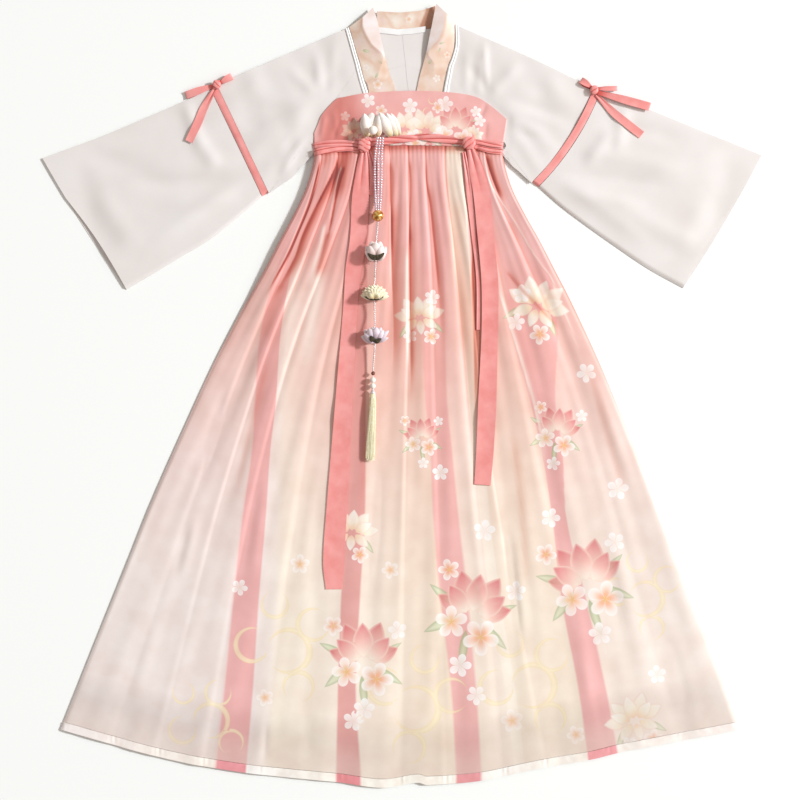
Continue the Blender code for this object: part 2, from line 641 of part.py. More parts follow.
def flat_tube(name, material, stations, height, wall, crown, rings):
    """A sleeve pressed flat: back layer, folded top edge, front layer, sewn bottom edge, open at both ends."""
    section = [(0.0, 0.5), (0.012, 0.12), (0.03, 0.0), (0.25, 0.0), (0.5, 0.0), (0.75, 0.0), (0.97, 0.0),
               (0.988, 0.12), (1.0, 0.5), (0.988, 0.88), (0.97, 1.0), (0.75, 1.0), (0.5, 1.0), (0.25, 1.0),
               (0.03, 1.0), (0.012, 0.88)]

    def place(i, j):
        inside = j >= rings
        step = j if not inside else 2 * rings - 1 - j
        first, second, share = along_rows(stations, step / (rings - 1))
        top_x, top_y, bottom_x, bottom_y, bow = (a + (b - a) * share for a, b in zip(first, second))
        across, up = section[i]
        if inside:
            across = 0.018 + across * 0.964
        fullness = crown * 4.0 * across * (1.0 - across)
        low = wall if inside else 0.0
        high = height + fullness - (wall if inside else 0.0)
        span_x = top_x - bottom_x
        span_y = top_y - bottom_y
        span = math.hypot(span_x, span_y)
        outward = bow * 4.0 * across * (1.0 - across) * (1.0 if top_x > 0.0 else -1.0)
        return (
            bottom_x + span_x * across + span_y / span * outward,
            bottom_y + span_y * across - span_x / span * outward,
            low + (high - low) * up,
        )

    return ring_solid(name, material, place, len(section), 2 * rings)


def build_sleeves(sheer, coral):
    flat_tube("sleeve_left", sheer, SLEEVE_LEFT, SLEEVE_HEIGHT, CLOTH, 2.0, 6)
    flat_tube("sleeve_right", sheer, SLEEVE_RIGHT, SLEEVE_HEIGHT, CLOTH, 2.0, 6)
    ribbon_height = SLEEVE_HEIGHT + RIBBON_CLOTH
    flat_tube("sleeve_ribbon_left", coral, SLEEVE_RIBBON_LEFT, ribbon_height, RIBBON_CLOTH, 1.5, 2)
    flat_tube("sleeve_ribbon_right", coral, SLEEVE_RIBBON_RIGHT, ribbon_height, RIBBON_CLOTH, 1.5, 2)


def build_collar(satin, white):
    for name, table in (("collar_left", COLLAR_LEFT), ("collar_right", COLLAR_RIGHT)):
        def values_at(v, table=table):
            first, second, share = along_rows(table, v)
            return CollarRow(*(a + (b - a) * share for a, b in zip(first, second)))

        def place(u, v, values_at=values_at):
            row = values_at(v)
            x = straight([(0.0, row.outer_x), (0.5, row.crease_x), (1.0, row.inner_x)], u)
            y = straight([(0.0, row.outer_y), (0.5, row.crease_y), (1.0, row.inner_y)], u)
            return x, y

        def underside(x, y, u, v, values_at=values_at):
            row = values_at(v)
            up = straight([(0.0, row.outer_up), (0.5, row.crease_up), (1.0, row.inner_up)], u)
            return robe_back_level(x, y) + LAYER + up

        panel(name, satin, place, underside, columns=4, rows=len(table) - 1)

    columns = len(COLLAR_BACK) - 1

    def back_place(u, v):
        first, second, share = along_rows(COLLAR_BACK, u)
        x, free_y, seam_y = (a + (b - a) * share for a, b in zip(first, second))
        return x, seam_y + GAP + (free_y - seam_y) * v

    panel("collar_back", satin, back_place, lambda x, y, u, v: 3.0 * v ** 2, columns=columns, rows=3)

    def tape_place(u, v):
        x = NECK_TAPE_MIDDLE_X + NECK_TAPE_HALF * (2.0 * u - 1.0)
        seam_y = straight([(column.x, column.seam_y) for column in COLLAR_BACK], x)
        return x, seam_y - 5.0 + 10.0 * v

    panel("neck_tape", white, tape_place, lambda x, y, u, v: LAYER + 0.3, columns=columns, rows=1, thickness=0.8)

    for name, table, side in (("piping_left", FRONT_LEFT, -1.0), ("piping_right", FRONT_RIGHT, 1.0)):
        edge = table[:6] if side < 0 else table[:7]

        def piping_place(u, v, edge=edge, side=side):
            first, second, share = along_rows(edge, v)
            x = first.inner_x + (second.inner_x - first.inner_x) * share
            y = first.inner_y + (second.inner_y - first.inner_y) * share
            width = 6.0 + 3.0 * v
            return x + side * (0.5 + width * u), y - 2.0 * u

        panel(
            name, white, piping_place, lambda x, y, u, v: robe_front_level(x, y) + LAYER,
            columns=1, rows=len(edge) - 1, thickness=0.8,
        )


def skirt_column(u):
    """Turns a place across the skirt's grid into a pleat and a place in it."""
    steps = len(PLEAT_SECTION) - 1
    column = round(u * steps * (len(PLEATS) - 1))
    index = min(len(PLEATS) - 2, column // steps)
    return index, PLEAT_SECTION[column - index * steps][0]


def build_skirt(chiffon, lining_cloth, satin):
    binding_down = 1.0 - HEM_BINDING / SKIRT_DROP
    gap_down = GAP / SKIRT_DROP
    columns = (len(PLEAT_SECTION) - 1) * (len(PLEATS) - 1)

    def front_share(u, down):
        index, part = skirt_column(u)
        start = fold_share(index, down)
        return index, part, start + (fold_share(index + 1, down) - start) * part

    def front_place(down_at):
        def place(u, v):
            down = down_at(v)
            across = front_share(u, down)[2]
            return skirt_place(across, down)
        return place

    def front_underside(down_at):
        def underside(x, y, u, v):
            down = down_at(v)
            index, part, _ = front_share(u, down)
            if u in (0.0, 1.0):
                return min(skirt_level(x, y), LAYER + 2.0 * LAYER * lift(outside_tail(x, y)))
            return skirt_level(x, y) + pleat_rise(index, part, down)
        return underside

    def front_down(v):
        return gap_down + (binding_down - 2 * gap_down) * v ** 1.15

    def binding_band(v):
        return binding_down + (1.0 - binding_down) * v

    panel("skirt_front", chiffon, front_place(front_down), front_underside(front_down), columns, SKIRT_ROWS)
    panel("hem_front", satin, front_place(binding_band), front_underside(binding_band), columns, 1)

    def back_place(down_at):
        def place(u, v):
            return skirt_place(u, down_at(v))
        return place

    def flat(x, y, u, v):
        return 0.0

    panel(
        "skirt_back", chiffon, back_place(lambda v: gap_down + (binding_down - 2 * gap_down) * v), flat,
        columns=12, rows=12,
    )
    panel("hem_back", satin, back_place(binding_band), flat, columns=12, rows=1)

    # The lining stops short of the hem, further at the left side than in the middle
    lining_end = [(0.0, 0.925), (0.2, 0.962), (0.5, 0.967), (0.85, 0.972), (1.0, 0.945)]
    inset_left = [(0.0, 0.03), (0.3, 0.035), (1.0, 0.062)]
    inset_right = [(0.0, 0.03), (0.3, 0.03), (1.0, 0.026)]

    def lining_place(u, v):
        down = gap_down + (eased(lining_end, u) - gap_down) * v
        left = straight(inset_left, down)
        right = straight(inset_right, down)
        return skirt_place(left + (1.0 - left - right) * u, down)

    panel(
        "skirt_lining", lining_cloth, lining_place, lambda x, y, u, v: lining_level(x, y),
        columns=14, rows=SKIRT_ROWS,
    )


def build_band(chiffon):
    tops = [(column.top_x, column.top_y, column.bottom_x) for column in BAND]

    def place(u, v):
        first, second, share = along_rows(tops, u)
        top_x, top_y, bottom_x = (a + (b - a) * share for a, b in zip(first, second))
        bottom_y = seam_height(bottom_x) + GAP
        return top_x + (bottom_x - top_x) * v, top_y + (bottom_y - top_y) * v

    panel("band_front", chiffon, place, lambda x, y, u, v: band_level(x, y), columns=len(BAND) - 1, rows=4)
    panel("band_back", chiffon, place, lambda x, y, u, v: 0.0, columns=len(BAND) - 1, rows=1)


def ribbon(name, material, points, surface, reach=12.0, rows_per_point=1):
    """A strip of ribbon whose middle runs through points, laid on a surface."""
    lengths = [0.0]
    for before, after in zip(points, points[1:]):
        lengths.append(lengths[-1] + math.hypot(after.x - before.x, after.y - before.y))
    line_x = [(length, point.x) for length, point in zip(lengths, points)]
    line_y = [(length, point.y) for length, point in zip(lengths, points)]
    line_width = [(length, point.width) for length, point in zip(lengths, points)]
    rows = (len(points) - 1) * rows_per_point

    def centre(v):
        length = v * lengths[-1]
        step = 0.01 * lengths[-1]
        x = eased(line_x, length)
        y = eased(line_y, length)
        run_x = eased(line_x, length + step) - eased(line_x, length - step)
        run_y = eased(line_y, length + step) - eased(line_y, length - step)
        size = math.hypot(run_x, run_y)
        return x, y, -run_y / size, run_x / size, eased(line_width, length)

    def place(u, v):
        x, y, normal_x, normal_y, width = centre(v)
        side = (u - 0.5) * width
        return x + normal_x * side, y + normal_y * side

    def underside(x, y, u, v):
        middle_x, middle_y, normal_x, normal_y, width = centre(v)
        half = 0.5 * width + 1.0
        reach_x = abs(normal_x) * half + abs(normal_y) * reach
        reach_y = abs(normal_y) * half + abs(normal_x) * reach
        return highest(surface, middle_x, middle_y, reach_x, reach_y) + GAP

    return panel(name, material, place, underside, columns=2, rows=rows, thickness=RIBBON_CLOTH)


def knot(name, material, size, surface):
    """A tied knot: a small wrapped block of ribbon with rounded corners."""
    base = highest(surface, size.x, size.y, size.half_x, size.half_y) + GAP
    builder = bmesh.new()
    bmesh.ops.create_cube(builder, size=1.0)
    block = Vector((2.0 * size.half_x, 2.0 * size.half_y, size.height))
    bmesh.ops.scale(builder, vec=block, verts=builder.verts[:])
    bmesh.ops.bevel(
        builder, geom=builder.edges[:], offset=0.32 * size.height, segments=2, profile=0.6, affect="EDGES",
    )
    middle = Vector((size.x, size.y, base + 0.5 * size.height))
    bmesh.ops.translate(builder, vec=middle, verts=builder.verts[:])
    return finish(name, builder, material)


def build_tie(coral):
    for name, points in TIES.items():
        ribbon(name, coral, points, front_top, reach=6.0, rows_per_point=2)
    for name, points in HANGING_RIBBONS.items():
        is_long = len(points) > 4
        ribbon(name, coral, points, skirt_top, 24.0 if is_long else 8.0, 3 if is_long else 2)
    for name, size in TIE_KNOTS.items():
        knot(name, coral, size, front_top)


def bow_loop(name, material, loop, surface):
    """A ribbon loop lying down: out from the knot, round its fold and back on top of itself."""
    run_x = loop.tip_x - loop.root_x
    run_y = loop.tip_y - loop.root_y
    length = math.hypot(run_x, run_y)
    normal_x = -run_y / length
    normal_y = run_x / length
    width_room = 0.5 * loop.width
    base = highest(surface, 0.5 * (loop.root_x + loop.tip_x), 0.5 * (loop.root_y + loop.tip_y),
                   0.5 * abs(run_x) + 0.5 * width_room, 0.5 * abs(run_y) + 0.5 * width_room) + GAP
    radius = 2.0
    # Along the loop: share of its length, side of the fold from the lower layer (-1) to the upper one (1)
    path = [(0.0, -1.0), (0.35, -1.0), (0.7, -1.0), (0.93, -1.0), (0.98, -0.7), (1.0, 0.0), (0.98, 0.7),
            (0.93, 1.0), (0.7, 1.15), (0.35, 1.2), (0.0, 1.0)]
    steps = len(path) - 1
    builder = bmesh.new()
    bmesh.ops.create_grid(builder, x_segments=2, y_segments=steps, size=0.5)
    for vertex in builder.verts:
        u = vertex.co.x
        along, side = path[round((vertex.co.y + 0.5) * steps)]
        width = loop.width * (0.55 + 0.45 * smooth(along * 2.0))
        middle = base + 0.5 * RIBBON_CLOTH + radius
        vertex.co = Vector((
            loop.root_x + run_x * along + normal_x * width * u,
            loop.root_y + run_y * along + normal_y * width * u,
            middle + radius * side,
        ))
    thing = finish(name, builder, material)
    wall = thing.modifiers.new("ribbon cloth", "SOLIDIFY")
    wall.thickness = RIBBON_CLOTH * MM
    wall.offset = 0.0
    return thing


def build_bows(coral):
    for name, bow in BOWS.items():
        knot(name + "_knot", coral, bow["knot"], sleeve_top)
        for index, loop in enumerate(bow["loops"]):
            bow_loop(f"{name}_loop_{index + 1}", coral, loop, sleeve_top)
        ribbon(name + "_tail", coral, bow["tail"], sleeve_top_full, reach=8.0, rows_per_point=1)


def sleeve_top_full(x, y):
    """The lower sleeve's front layer is a little full between its edges."""
    return SLEEVE_HEIGHT + 2.0


def threaded_height(x, y, half_x, half_y, half_z):
    """Height of the middle of something that lies on the skirt."""
    return highest(skirt_top, x, y, half_x, half_y) + GAP + half_z


def cord_route():
    """The middle of the threaded cord: y, x and height where each flower and bead holds it."""
    gold = BEADS["pendant_gold_bead"]
    route = [(CORD_TOP_Y, gold.x, seat_height(skirt_top, gold.x, gold.y, gold.radius))]
    for name in ("pendant_lotus", "pendant_cream_flower", "pendant_lilac_flower"):
        size = FLOWERS[name]
        half = 0.5 * size.length
        half_z = PETAL_REACH * size.radius * size.flatness
        height = threaded_height(size.x, size.base_y + half, size.radius, half, half_z)
        route += [(size.base_y + size.length, size.x, height), (size.base_y, size.x, height)]
    for name in ("pendant_brown_bead", "pendant_pearl_upper", "pendant_pearl_lower"):
        size = BEADS[name]
        route.append((size.y, size.x, threaded_height(size.x, size.y, 6.0, 14.0, PEARL_SMALL_RADIUS)))
    last = BEADS["pendant_pearl_lower"]
    route.append((CORD_END_Y, last.x, threaded_height(last.x, last.y, 6.0, 14.0, PEARL_SMALL_RADIUS)))
    return route


CORD_ROUTE = cord_route()


def cord_point(y):
    x = eased([(-row[0], row[1]) for row in CORD_ROUTE], -y)
    z = eased([(-row[0], row[2]) for row in CORD_ROUTE], -y)
    return x, y, z


def flower(name, material, size, middle_z, hole):
    """A cloth lotus: petals in a ring round the thread, opening towards the collar."""
    outer = len(FLOWER_PROFILE)
    profile = [(share, radius * size.radius, True) for share, radius in FLOWER_PROFILE]
    profile += [(share, hole, False) for share in (0.97, 0.5, 0.03)]
    around = 2 * size.petals

    def place(i, j):
        share, radius, is_outer = profile[j]
        angle = 2.0 * math.pi * i / around
        flat = 1.0
        if is_outer:
            lobe = (PETAL_REACH - 1.0) * math.cos(size.petals * angle) * smooth(j / outer * 1.5)
            radius *= 1.0 + lobe
            flat = size.flatness
        if is_outer and j == 0:
            radius = max(radius, hole + 1.5)
            flat = 1.0
        height = max(radius * flat, hole + 1.0) if is_outer else radius
        return (
            size.x + radius * math.cos(angle),
            size.base_y + share * size.length,
            middle_z + height * math.sin(angle),
        )

    return ring_solid(name, material, place, around, len(profile))


def bead(name, material, size, middle_z, hole, around=12, half_steps=6):
    """A round bead with a hole for its thread along Y."""
    start = math.asin(min(0.9, hole / size.radius))

    def place(i, j):
        angle = 2.0 * math.pi * i / around
        if j <= half_steps:
            turn = start + (math.pi - 2.0 * start) * j / half_steps
            radius = size.radius * math.sin(turn)
            y = size.y + size.radius * math.cos(turn)
        else:
            radius = hole
            y = size.y
        return size.x + radius * math.cos(angle), y, middle_z + radius * math.sin(angle)

    return ring_solid(name, material, place, around, half_steps + 2)


def thread(name, material, points, radius):
    """A round thread: a poly curve with filled ends."""
    curve = bpy.data.curves.new(name, "CURVE")
    curve.dimensions = "3D"
    curve.bevel_depth = radius * MM
    curve.bevel_resolution = 2
    curve.use_fill_caps = True
    line = curve.splines.new("POLY")
    line.points.add(len(points) - 1)
    for point, (x, y, z) in zip(line.points, points):
        point.co = (x * MM, y * MM, z * MM, 1.0)
    curve.materials.append(material)
    thing = bpy.data.objects.new(name, curve)
    parts.objects.link(thing)
    return thing


def tassel(name, material, x, middle_z):
    """A tassel: its head, with strands drawn out of the head's lower face."""
    builder = bmesh.new()
    bmesh.ops.create_grid(builder, x_segments=TASSEL_COLUMNS, y_segments=TASSEL_LAYERS, size=0.5)
    half_height = 3.2
    for vertex in builder.verts:
        across = 2.0 * vertex.co.x
        up = 2.0 * vertex.co.y
        vertex.co = Vector((x + TASSEL_HALF_WIDTH * across, TASSEL_HEAD_Y, middle_z + half_height * up))
    lower_faces = builder.faces[:]
    raised = bmesh.ops.extrude_face_region(builder, geom=lower_faces)
    upper = [item for item in raised["geom"] if isinstance(item, bmesh.types.BMVert)]
    bmesh.ops.translate(builder, vec=Vector((0.0, TASSEL_TOP_Y - TASSEL_HEAD_Y, 0.0)), verts=upper)
    bmesh.ops.recalc_face_normals(builder, faces=builder.faces[:])
    roots = [face for face in builder.faces if all(abs(v.co.y - TASSEL_HEAD_Y) < 0.01 for v in face.verts)]
    bmesh.ops.inset_individual(builder, faces=roots, thickness=0.22, use_even_offset=True)
    tips = roots
    steps = ((0.3, 1.15, -0.3), (0.7, 1.5, -1.6), (1.0, 1.9, -2.6))
    for share, spread, drop in steps:
        drawn = bmesh.ops.extrude_discrete_faces(builder, faces=tips)
        tips = drawn["faces"]
        for face in tips:
            middle = face.calc_center_median()
            side = middle.x - x
            level = middle.z - middle_z
            uneven = 3.0 * math.sin(side * 7.3 + level * 4.1)
            target_y = TASSEL_HEAD_Y + (TASSEL_END_Y - TASSEL_HEAD_Y + uneven) * share
            for vertex in face.verts:
                vertex.co.y = target_y
                vertex.co.x += side * (spread - 1.0) * 0.45
                vertex.co.z += drop * 0.5
    return finish(name, builder, material)


def build_ornament(materials):
    steps = round((CORD_TOP_Y - CORD_END_Y) / CORD_STEP)
    fall = (CORD_END_Y - CORD_TOP_Y) / steps
    cord_points = [cord_point(CORD_TOP_Y + fall * step) for step in range(steps + 1)]
    thread("pendant_cord", materials["thread"], cord_points, THREAD_RADIUS)
    colours = {
        "pendant_lotus": "petal_pink",
        "pendant_cream_flower": "petal_cream",
        "pendant_lilac_flower": "petal_lilac",
    }
    for name, colour in colours.items():
        size = FLOWERS[name]
        flower(name, materials[colour], size, cord_point(size.base_y + 0.5 * size.length)[2], THREAD_HOLE)
    top = FLOWERS["pendant_flower_top"]
    half = 0.5 * top.length
    below_top = highest(front_top, top.x, top.base_y + half, top.radius, half)
    top_z = below_top + GAP + top.radius * top.flatness * PETAL_REACH
    flower("pendant_flower_top", materials["petal_white"], top, top_z, 1.0)

    def petals_top(x, y):
        share = (y - top.base_y) / top.length
        if not 0.0 <= share <= 1.0:
            return top_z
        radius = straight(FLOWER_PROFILE, share) * top.radius * PETAL_REACH
        side = min(radius, abs(x - top.x))
        return top_z + top.flatness * math.sqrt(radius * radius - side * side)

    bead("pendant_pearl", materials["pearl"], PEARL, seat_height(petals_top, PEARL.x, PEARL.y, PEARL.radius), 1.0)
    gold = BEADS["pendant_gold_bead"]
    gold_z = seat_height(skirt_top, gold.x, gold.y, gold.radius)
    bead("pendant_gold_bead", materials["gold"], gold, gold_z, 1.0, around=14)
    for name, colour in (
        ("pendant_brown_bead", "wood"), ("pendant_pearl_upper", "pearl"), ("pendant_pearl_lower", "pearl"),
    ):
        size = BEADS[name]
        bead(name, materials[colour], size, cord_point(size.y)[2], THREAD_HOLE, around=10)
    for name, line in BEAD_STRINGS.items():
        curve_y = [y for _, y in line]
        points = []
        steps = 12
        for step in range(steps + 1):
            y = curve_y[0] + (curve_y[-1] - curve_y[0]) * step / steps
            x = eased([(-at, value) for value, at in line], -y)
            share = smooth(step / steps)
            z = (top_z - 0.5) + (gold_z - top_z + 0.5) * share
            rest = highest(skirt_top, x, y, 9.0, 9.0) + LAYER + 2 * GAP + BEAD_STRING_RADIUS
            points.append((x, y, max(rest, z - 8.0 * math.sin(math.pi * step / steps))))
        thread(name, materials["crystal"], points, BEAD_STRING_RADIUS)
    end_x, _, end_z = cord_point(CORD_END_Y)
    builder = bmesh.new()
    bmesh.ops.create_cone(
        builder, cap_ends=True, segments=12, radius1=CAP_TOP_RADIUS, radius2=CAP_END_RADIUS,
        depth=CAP_TOP_Y - CAP_END_Y,
    )
    turned = Matrix.Rotation(math.radians(90.0), 4, "X")
    placed = Matrix.Translation(Vector((end_x, 0.5 * (CAP_TOP_Y + CAP_END_Y), end_z)))
    bmesh.ops.transform(builder, matrix=placed @ turned, verts=builder.verts[:])
    finish("pendant_cap", builder, materials["silver"])
    tassel("pendant_tassel", materials["tassel"], end_x, end_z)


for leftover in list(bpy.data.objects):
    bpy.data.objects.remove(leftover)

parts = bpy.data.collections.new("hanfu_robe_set")
bpy.context.scene.collection.children.link(parts)

sheer_white = make_material("sheer_white_organza", "#EDE6E3", 0.6)
pink_chiffon = make_material("pink_chiffon", "#F0B5B2", 0.65)
pale_lining = make_material("pale_lining", "#F2E4DF", 0.7)
hem_satin = make_material("hem_satin", "#F3E6DA", 0.4)
collar_satin = make_material("collar_satin", "#F6DCCB", 0.4)
white_tape = make_material("white_tape", "#F5F2F0", 0.5)
coral_satin = make_material("coral_satin", "#F08580", 0.45)
ornament_materials = {
    "thread": make_material("silver_thread", "#D9CFCB", 0.4),
    "petal_white": make_material("white_petal_cloth", "#F6EAE4", 0.6),
    "petal_pink": make_material("pink_petal_cloth", "#F2DAD8", 0.6),
    "petal_cream": make_material("cream_petal_cloth", "#F1EBCB", 0.6),
    "petal_lilac": make_material("lilac_petal_cloth", "#D5C3CB", 0.6),
    "pearl": make_material("pearl", "#F2E6D6", 0.2),
    "silver": make_material("silver_cap", "#C9C4C0", 0.3, 1.0),
    "gold": make_material("gold_filigree", "#B8863B", 0.3, 1.0),
    "wood": make_material("dark_wood", "#6B3F2A", 0.4),
    "crystal": make_material("crystal", "#F0ECEE", 0.1),
    "tassel": make_material("cream_silk_tassel", "#F3EDC0", 0.5),
}

build_skirt(pink_chiffon, pale_lining, hem_satin)
build_band(pink_chiffon)
build_robe(sheer_white)
build_sleeves(sheer_white, coral_satin)
build_collar(collar_satin, white_tape)
build_tie(coral_satin)
build_bows(coral_satin)
build_ornament(ornament_materials)
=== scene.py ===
"""Looks of a hanfu set laid flat: a sheer robe with wide sleeves under a chest-high pleated skirt.

Sizes are in millimetres in the CAD's frame: +X to the right, +Y to the collar, +Z up off the table.
"""
import math
from collections import namedtuple

import bmesh
import bpy
import numpy as np
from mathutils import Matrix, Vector
from mathutils.bvhtree import BVHTree


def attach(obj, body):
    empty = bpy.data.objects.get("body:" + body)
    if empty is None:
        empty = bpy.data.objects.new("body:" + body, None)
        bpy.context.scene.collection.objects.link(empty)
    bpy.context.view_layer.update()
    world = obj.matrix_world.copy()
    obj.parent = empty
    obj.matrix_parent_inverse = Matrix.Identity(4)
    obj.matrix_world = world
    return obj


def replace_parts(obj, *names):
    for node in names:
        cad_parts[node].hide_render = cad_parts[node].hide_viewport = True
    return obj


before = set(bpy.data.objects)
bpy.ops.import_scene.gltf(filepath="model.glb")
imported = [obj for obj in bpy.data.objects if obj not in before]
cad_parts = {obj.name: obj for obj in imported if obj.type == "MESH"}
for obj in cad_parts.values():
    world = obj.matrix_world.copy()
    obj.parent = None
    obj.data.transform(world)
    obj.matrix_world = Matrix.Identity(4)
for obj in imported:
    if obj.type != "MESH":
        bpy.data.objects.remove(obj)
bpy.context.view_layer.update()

MM = 0.001

# Skirt, plain back: one flared panel of pink chiffon that lies on the table under everything else.
# Its outline is that of the whole skirt: straight flared sides from the chest seam, and a round hem.
SEAM_Y = 424.7
SKIRT_DROP = 999.7
SEAM_RISE = 7.0
HEM_BINDING = 13.0
CLOTH_STEP = 1.5
SOLID_CLOTH = 1.2
CHIFFON = 0.5
SkirtRow = namedtuple("SkirtRow", "y left right")
SKIRT_SIDES = [
    SkirtRow(424.7, -152.8, 175.4),
    SkirtRow(404, -152.5, 176.1),
    SkirtRow(357.4, -165.8, 189.9),
    SkirtRow(309.1, -188.5, 214.1),
    SkirtRow(269.4, -210, 236.5),
    SkirtRow(217.6, -237, 263.3),
    SkirtRow(165.8, -266, 290.1),
    SkirtRow(62.2, -321.2, 338.4),
    SkirtRow(-41.4, -369.5, 381.6),
    SkirtRow(-179.6, -430.8, 436.8),
    SkirtRow(-283.2, -472.2, 474.8),
    SkirtRow(-404, -520.6, 520.6),
    SkirtRow(-575, -588.8, 581.9),
]
# Hem: share across from the left side, and how far it sags below the corners
HEM_SAG = [
    (0, 0), (0.155, 50), (0.27, 74), (0.41, 91), (0.475, 100.3), (0.527, 91.5),
    (0.54, 95.5), (0.62, 88), (0.706, 67), (0.78, 52), (0.827, 39), (1, 0),
]


def smooth(share):
    share = np.clip(share, 0.0, 1.0)
    return share * share * (3.0 - 2.0 * share)


def straight(table, place):
    """Reads a table of (place, value) rows with straight lines between them."""
    return np.interp(place, [row[0] for row in table], [row[1] for row in table])


def eased(table, place):
    """Reads a table of (place, value) rows along a smooth curve through them."""
    at = np.array([row[0] for row in table], float)
    value = np.array([row[1] for row in table], float)
    last = len(at) - 1
    before = np.maximum(np.arange(last + 1) - 1, 0)
    after = np.minimum(np.arange(last + 1) + 1, last)
    slope = (value[after] - value[before]) / (at[after] - at[before])
    place = np.clip(place, at[0], at[-1])
    index = np.clip(np.searchsorted(at, place, side="right") - 1, 0, last - 1)
    span = at[index + 1] - at[index]
    t = (place - at[index]) / span
    return (
        (2 * t ** 3 - 3 * t ** 2 + 1) * value[index]
        + (t ** 3 - 2 * t ** 2 + t) * span * slope[index]
        + (3 * t ** 2 - 2 * t ** 3) * value[index + 1]
        + (t ** 3 - t ** 2) * span * slope[index + 1]
    )


def skirt_side(y, side):
    return eased([(-row.y, getattr(row, side)) for row in SKIRT_SIDES], -np.asarray(y))


def skirt_place(across, down):
    """Point of the skirt's outline: across from 0 to 1, down from the chest seam (0) to the hem (1)."""
    level = SEAM_Y - SKIRT_DROP * down
    left = skirt_side(level, "left")
    x = left + across * (skirt_side(level, "right") - left)
    bow = SEAM_RISE * 4.0 * across * (1.0 - across)
    y = level + bow * (1.0 - down) ** 2 - eased(HEM_SAG, across) * down ** 1.6
    return x, y


def wall_faces(rows, columns, closed, first):
    """Faces of a cloth wall whose upper and lower grids follow each other, from the point numbered first."""
    size = rows * columns
    number = np.arange(size).reshape(rows, columns) + first
    if closed:
        number = np.concatenate([number, number[:, :1]], axis=1)
    quads = np.stack([number[:-1, :-1], number[:-1, 1:], number[1:, 1:], number[1:, :-1]], -1).reshape(-1, 4)
    edges = [number[0], number[-1][::-1]]
    if not closed:
        edges += [number[:, 0][::-1], number[:, -1]]
    faces = [quads, quads[:, ::-1] + size]
    for edge in edges:
        faces.append(np.stack([edge[:-1], edge[1:], edge[1:] + size, edge[:-1] + size], -1))
    return np.concatenate(faces)


def formed_mesh(name, points, faces):
    """A mesh from points in millimetres, its faces turned outward and smooth but for its sharp edges."""
    mesh = bpy.data.meshes.new(name)
    mesh.from_pydata((points * MM).tolist(), [], faces)
    builder = bmesh.new()
    builder.from_mesh(mesh)
    bmesh.ops.recalc_face_normals(builder, faces=builder.faces[:])
    builder.to_mesh(mesh)
    builder.free()
    mesh.shade_smooth()
    mesh.set_sharp_from_angle(angle=math.radians(60.0))
    return mesh


def corner_points(mesh):
    """The number of the point at each corner of each face."""
    corner = np.empty(len(mesh.loops), np.int32)
    mesh.loops.foreach_get("vertex_index", corner)
    return corner


def cloth_mesh(name, upper, lower, closed=False, uv=None):
    """A cloth wall, or several in lists, between grids of points (rows, columns, xyz) in millimetres."""
    uppers = upper if isinstance(upper, list) else [upper]
    lowers = lower if isinstance(lower, list) else [lower]
    places = uv if isinstance(uv, list) else [uv]
    points = []
    faces = []
    first = 0
    for top, low in zip(uppers, lowers):
        faces.append(wall_faces(top.shape[0], top.shape[1], closed, first))
        points += [top.reshape(-1, 3), low.reshape(-1, 3)]
        first += 2 * top.shape[0] * top.shape[1]
    mesh = formed_mesh(name, np.concatenate(points), np.concatenate(faces).tolist())
    if uv is not None:
        layer = mesh.uv_layers.new(name="cut")
        both = np.concatenate([place.reshape(-1, 2) for place in places for side in (0, 1)])
        layer.data.foreach_set("uv", both[corner_points(mesh)].astype(np.float32).ravel())
    return mesh


def panel_mesh(name, x, y, top, thickness, uv=None):
    """A cloth panel from its upper face and an even thickness."""
    return cloth_mesh(name, np.stack([x, y, top], -1), np.stack([x, y, top - thickness], -1), uv=uv)


def mark(mesh, name, values):
    """Keeps one number for each point of both sides of the cloth."""
    layer = mesh.attributes.new(name, "FLOAT", "POINT")
    layer.data.foreach_set("value", np.concatenate([values.ravel()] * 2).astype(np.float32))


def show(name, mesh, material, replaces=()):
    """Makes the mesh a piece that rides on the garment and stands for its CAD nodes."""
    thing = bpy.data.objects.new(name, mesh)
    bpy.context.scene.collection.objects.link(thing)
    mesh.materials.clear()
    mesh.materials.append(material)
    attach(thing, "root")
    if replaces:
        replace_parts(thing, *replaces)
    return thing


def cut_size(x, y):
    """Width, length and area in metres of a panel, from the grid of its flat points."""
    across = (x[1:, 1:] - x[:-1, :-1]) * (y[1:, :-1] - y[:-1, 1:])
    down = (x[1:, :-1] - x[:-1, 1:]) * (y[1:, 1:] - y[:-1, :-1])
    area = 0.5 * abs(np.sum(across - down))
    return np.ptp(x) * MM, np.ptp(y) * MM, area * MM * MM


def paint(code):
    """An sRGB hex colour as linear red, green, blue and 1."""
    channels = [int(code[at:at + 2], 16) / 255.0 for at in (1, 3, 5)]
    return (*(c / 12.92 if c <= 0.04045 else ((c + 0.055) / 1.055) ** 2.4 for c in channels), 1.0)


def add(tree, kind, inputs=None, **settings):
    """Adds a node with its settings, then its inputs as values or as links from other nodes."""
    made = tree.nodes.new(kind)
    for name, value in settings.items():
        setattr(made, name, value)
    for name, value in (inputs or {}).items():
        if isinstance(value, bpy.types.NodeSocket):
            tree.links.new(value, made.inputs[name])
        else:
            made.inputs[name].default_value = value
    return made


def ramped(tree, value, stops):
    """The colour of a value on a ramp of (place, hex colour) stops."""
    made = add(tree, "ShaderNodeValToRGB", {0: value})
    elements = made.color_ramp.elements
    while len(elements) > 1:
        elements.remove(elements[-1])
    elements[0].position = stops[0][0]
    elements[0].color = paint(stops[0][1])
    for place, code in stops[1:]:
        elements.new(place).color = paint(code)
    return made.outputs["Color"]


def calc(tree, operation, *values):
    return add(tree, "ShaderNodeMath", dict(enumerate(values)), operation=operation).outputs[0]


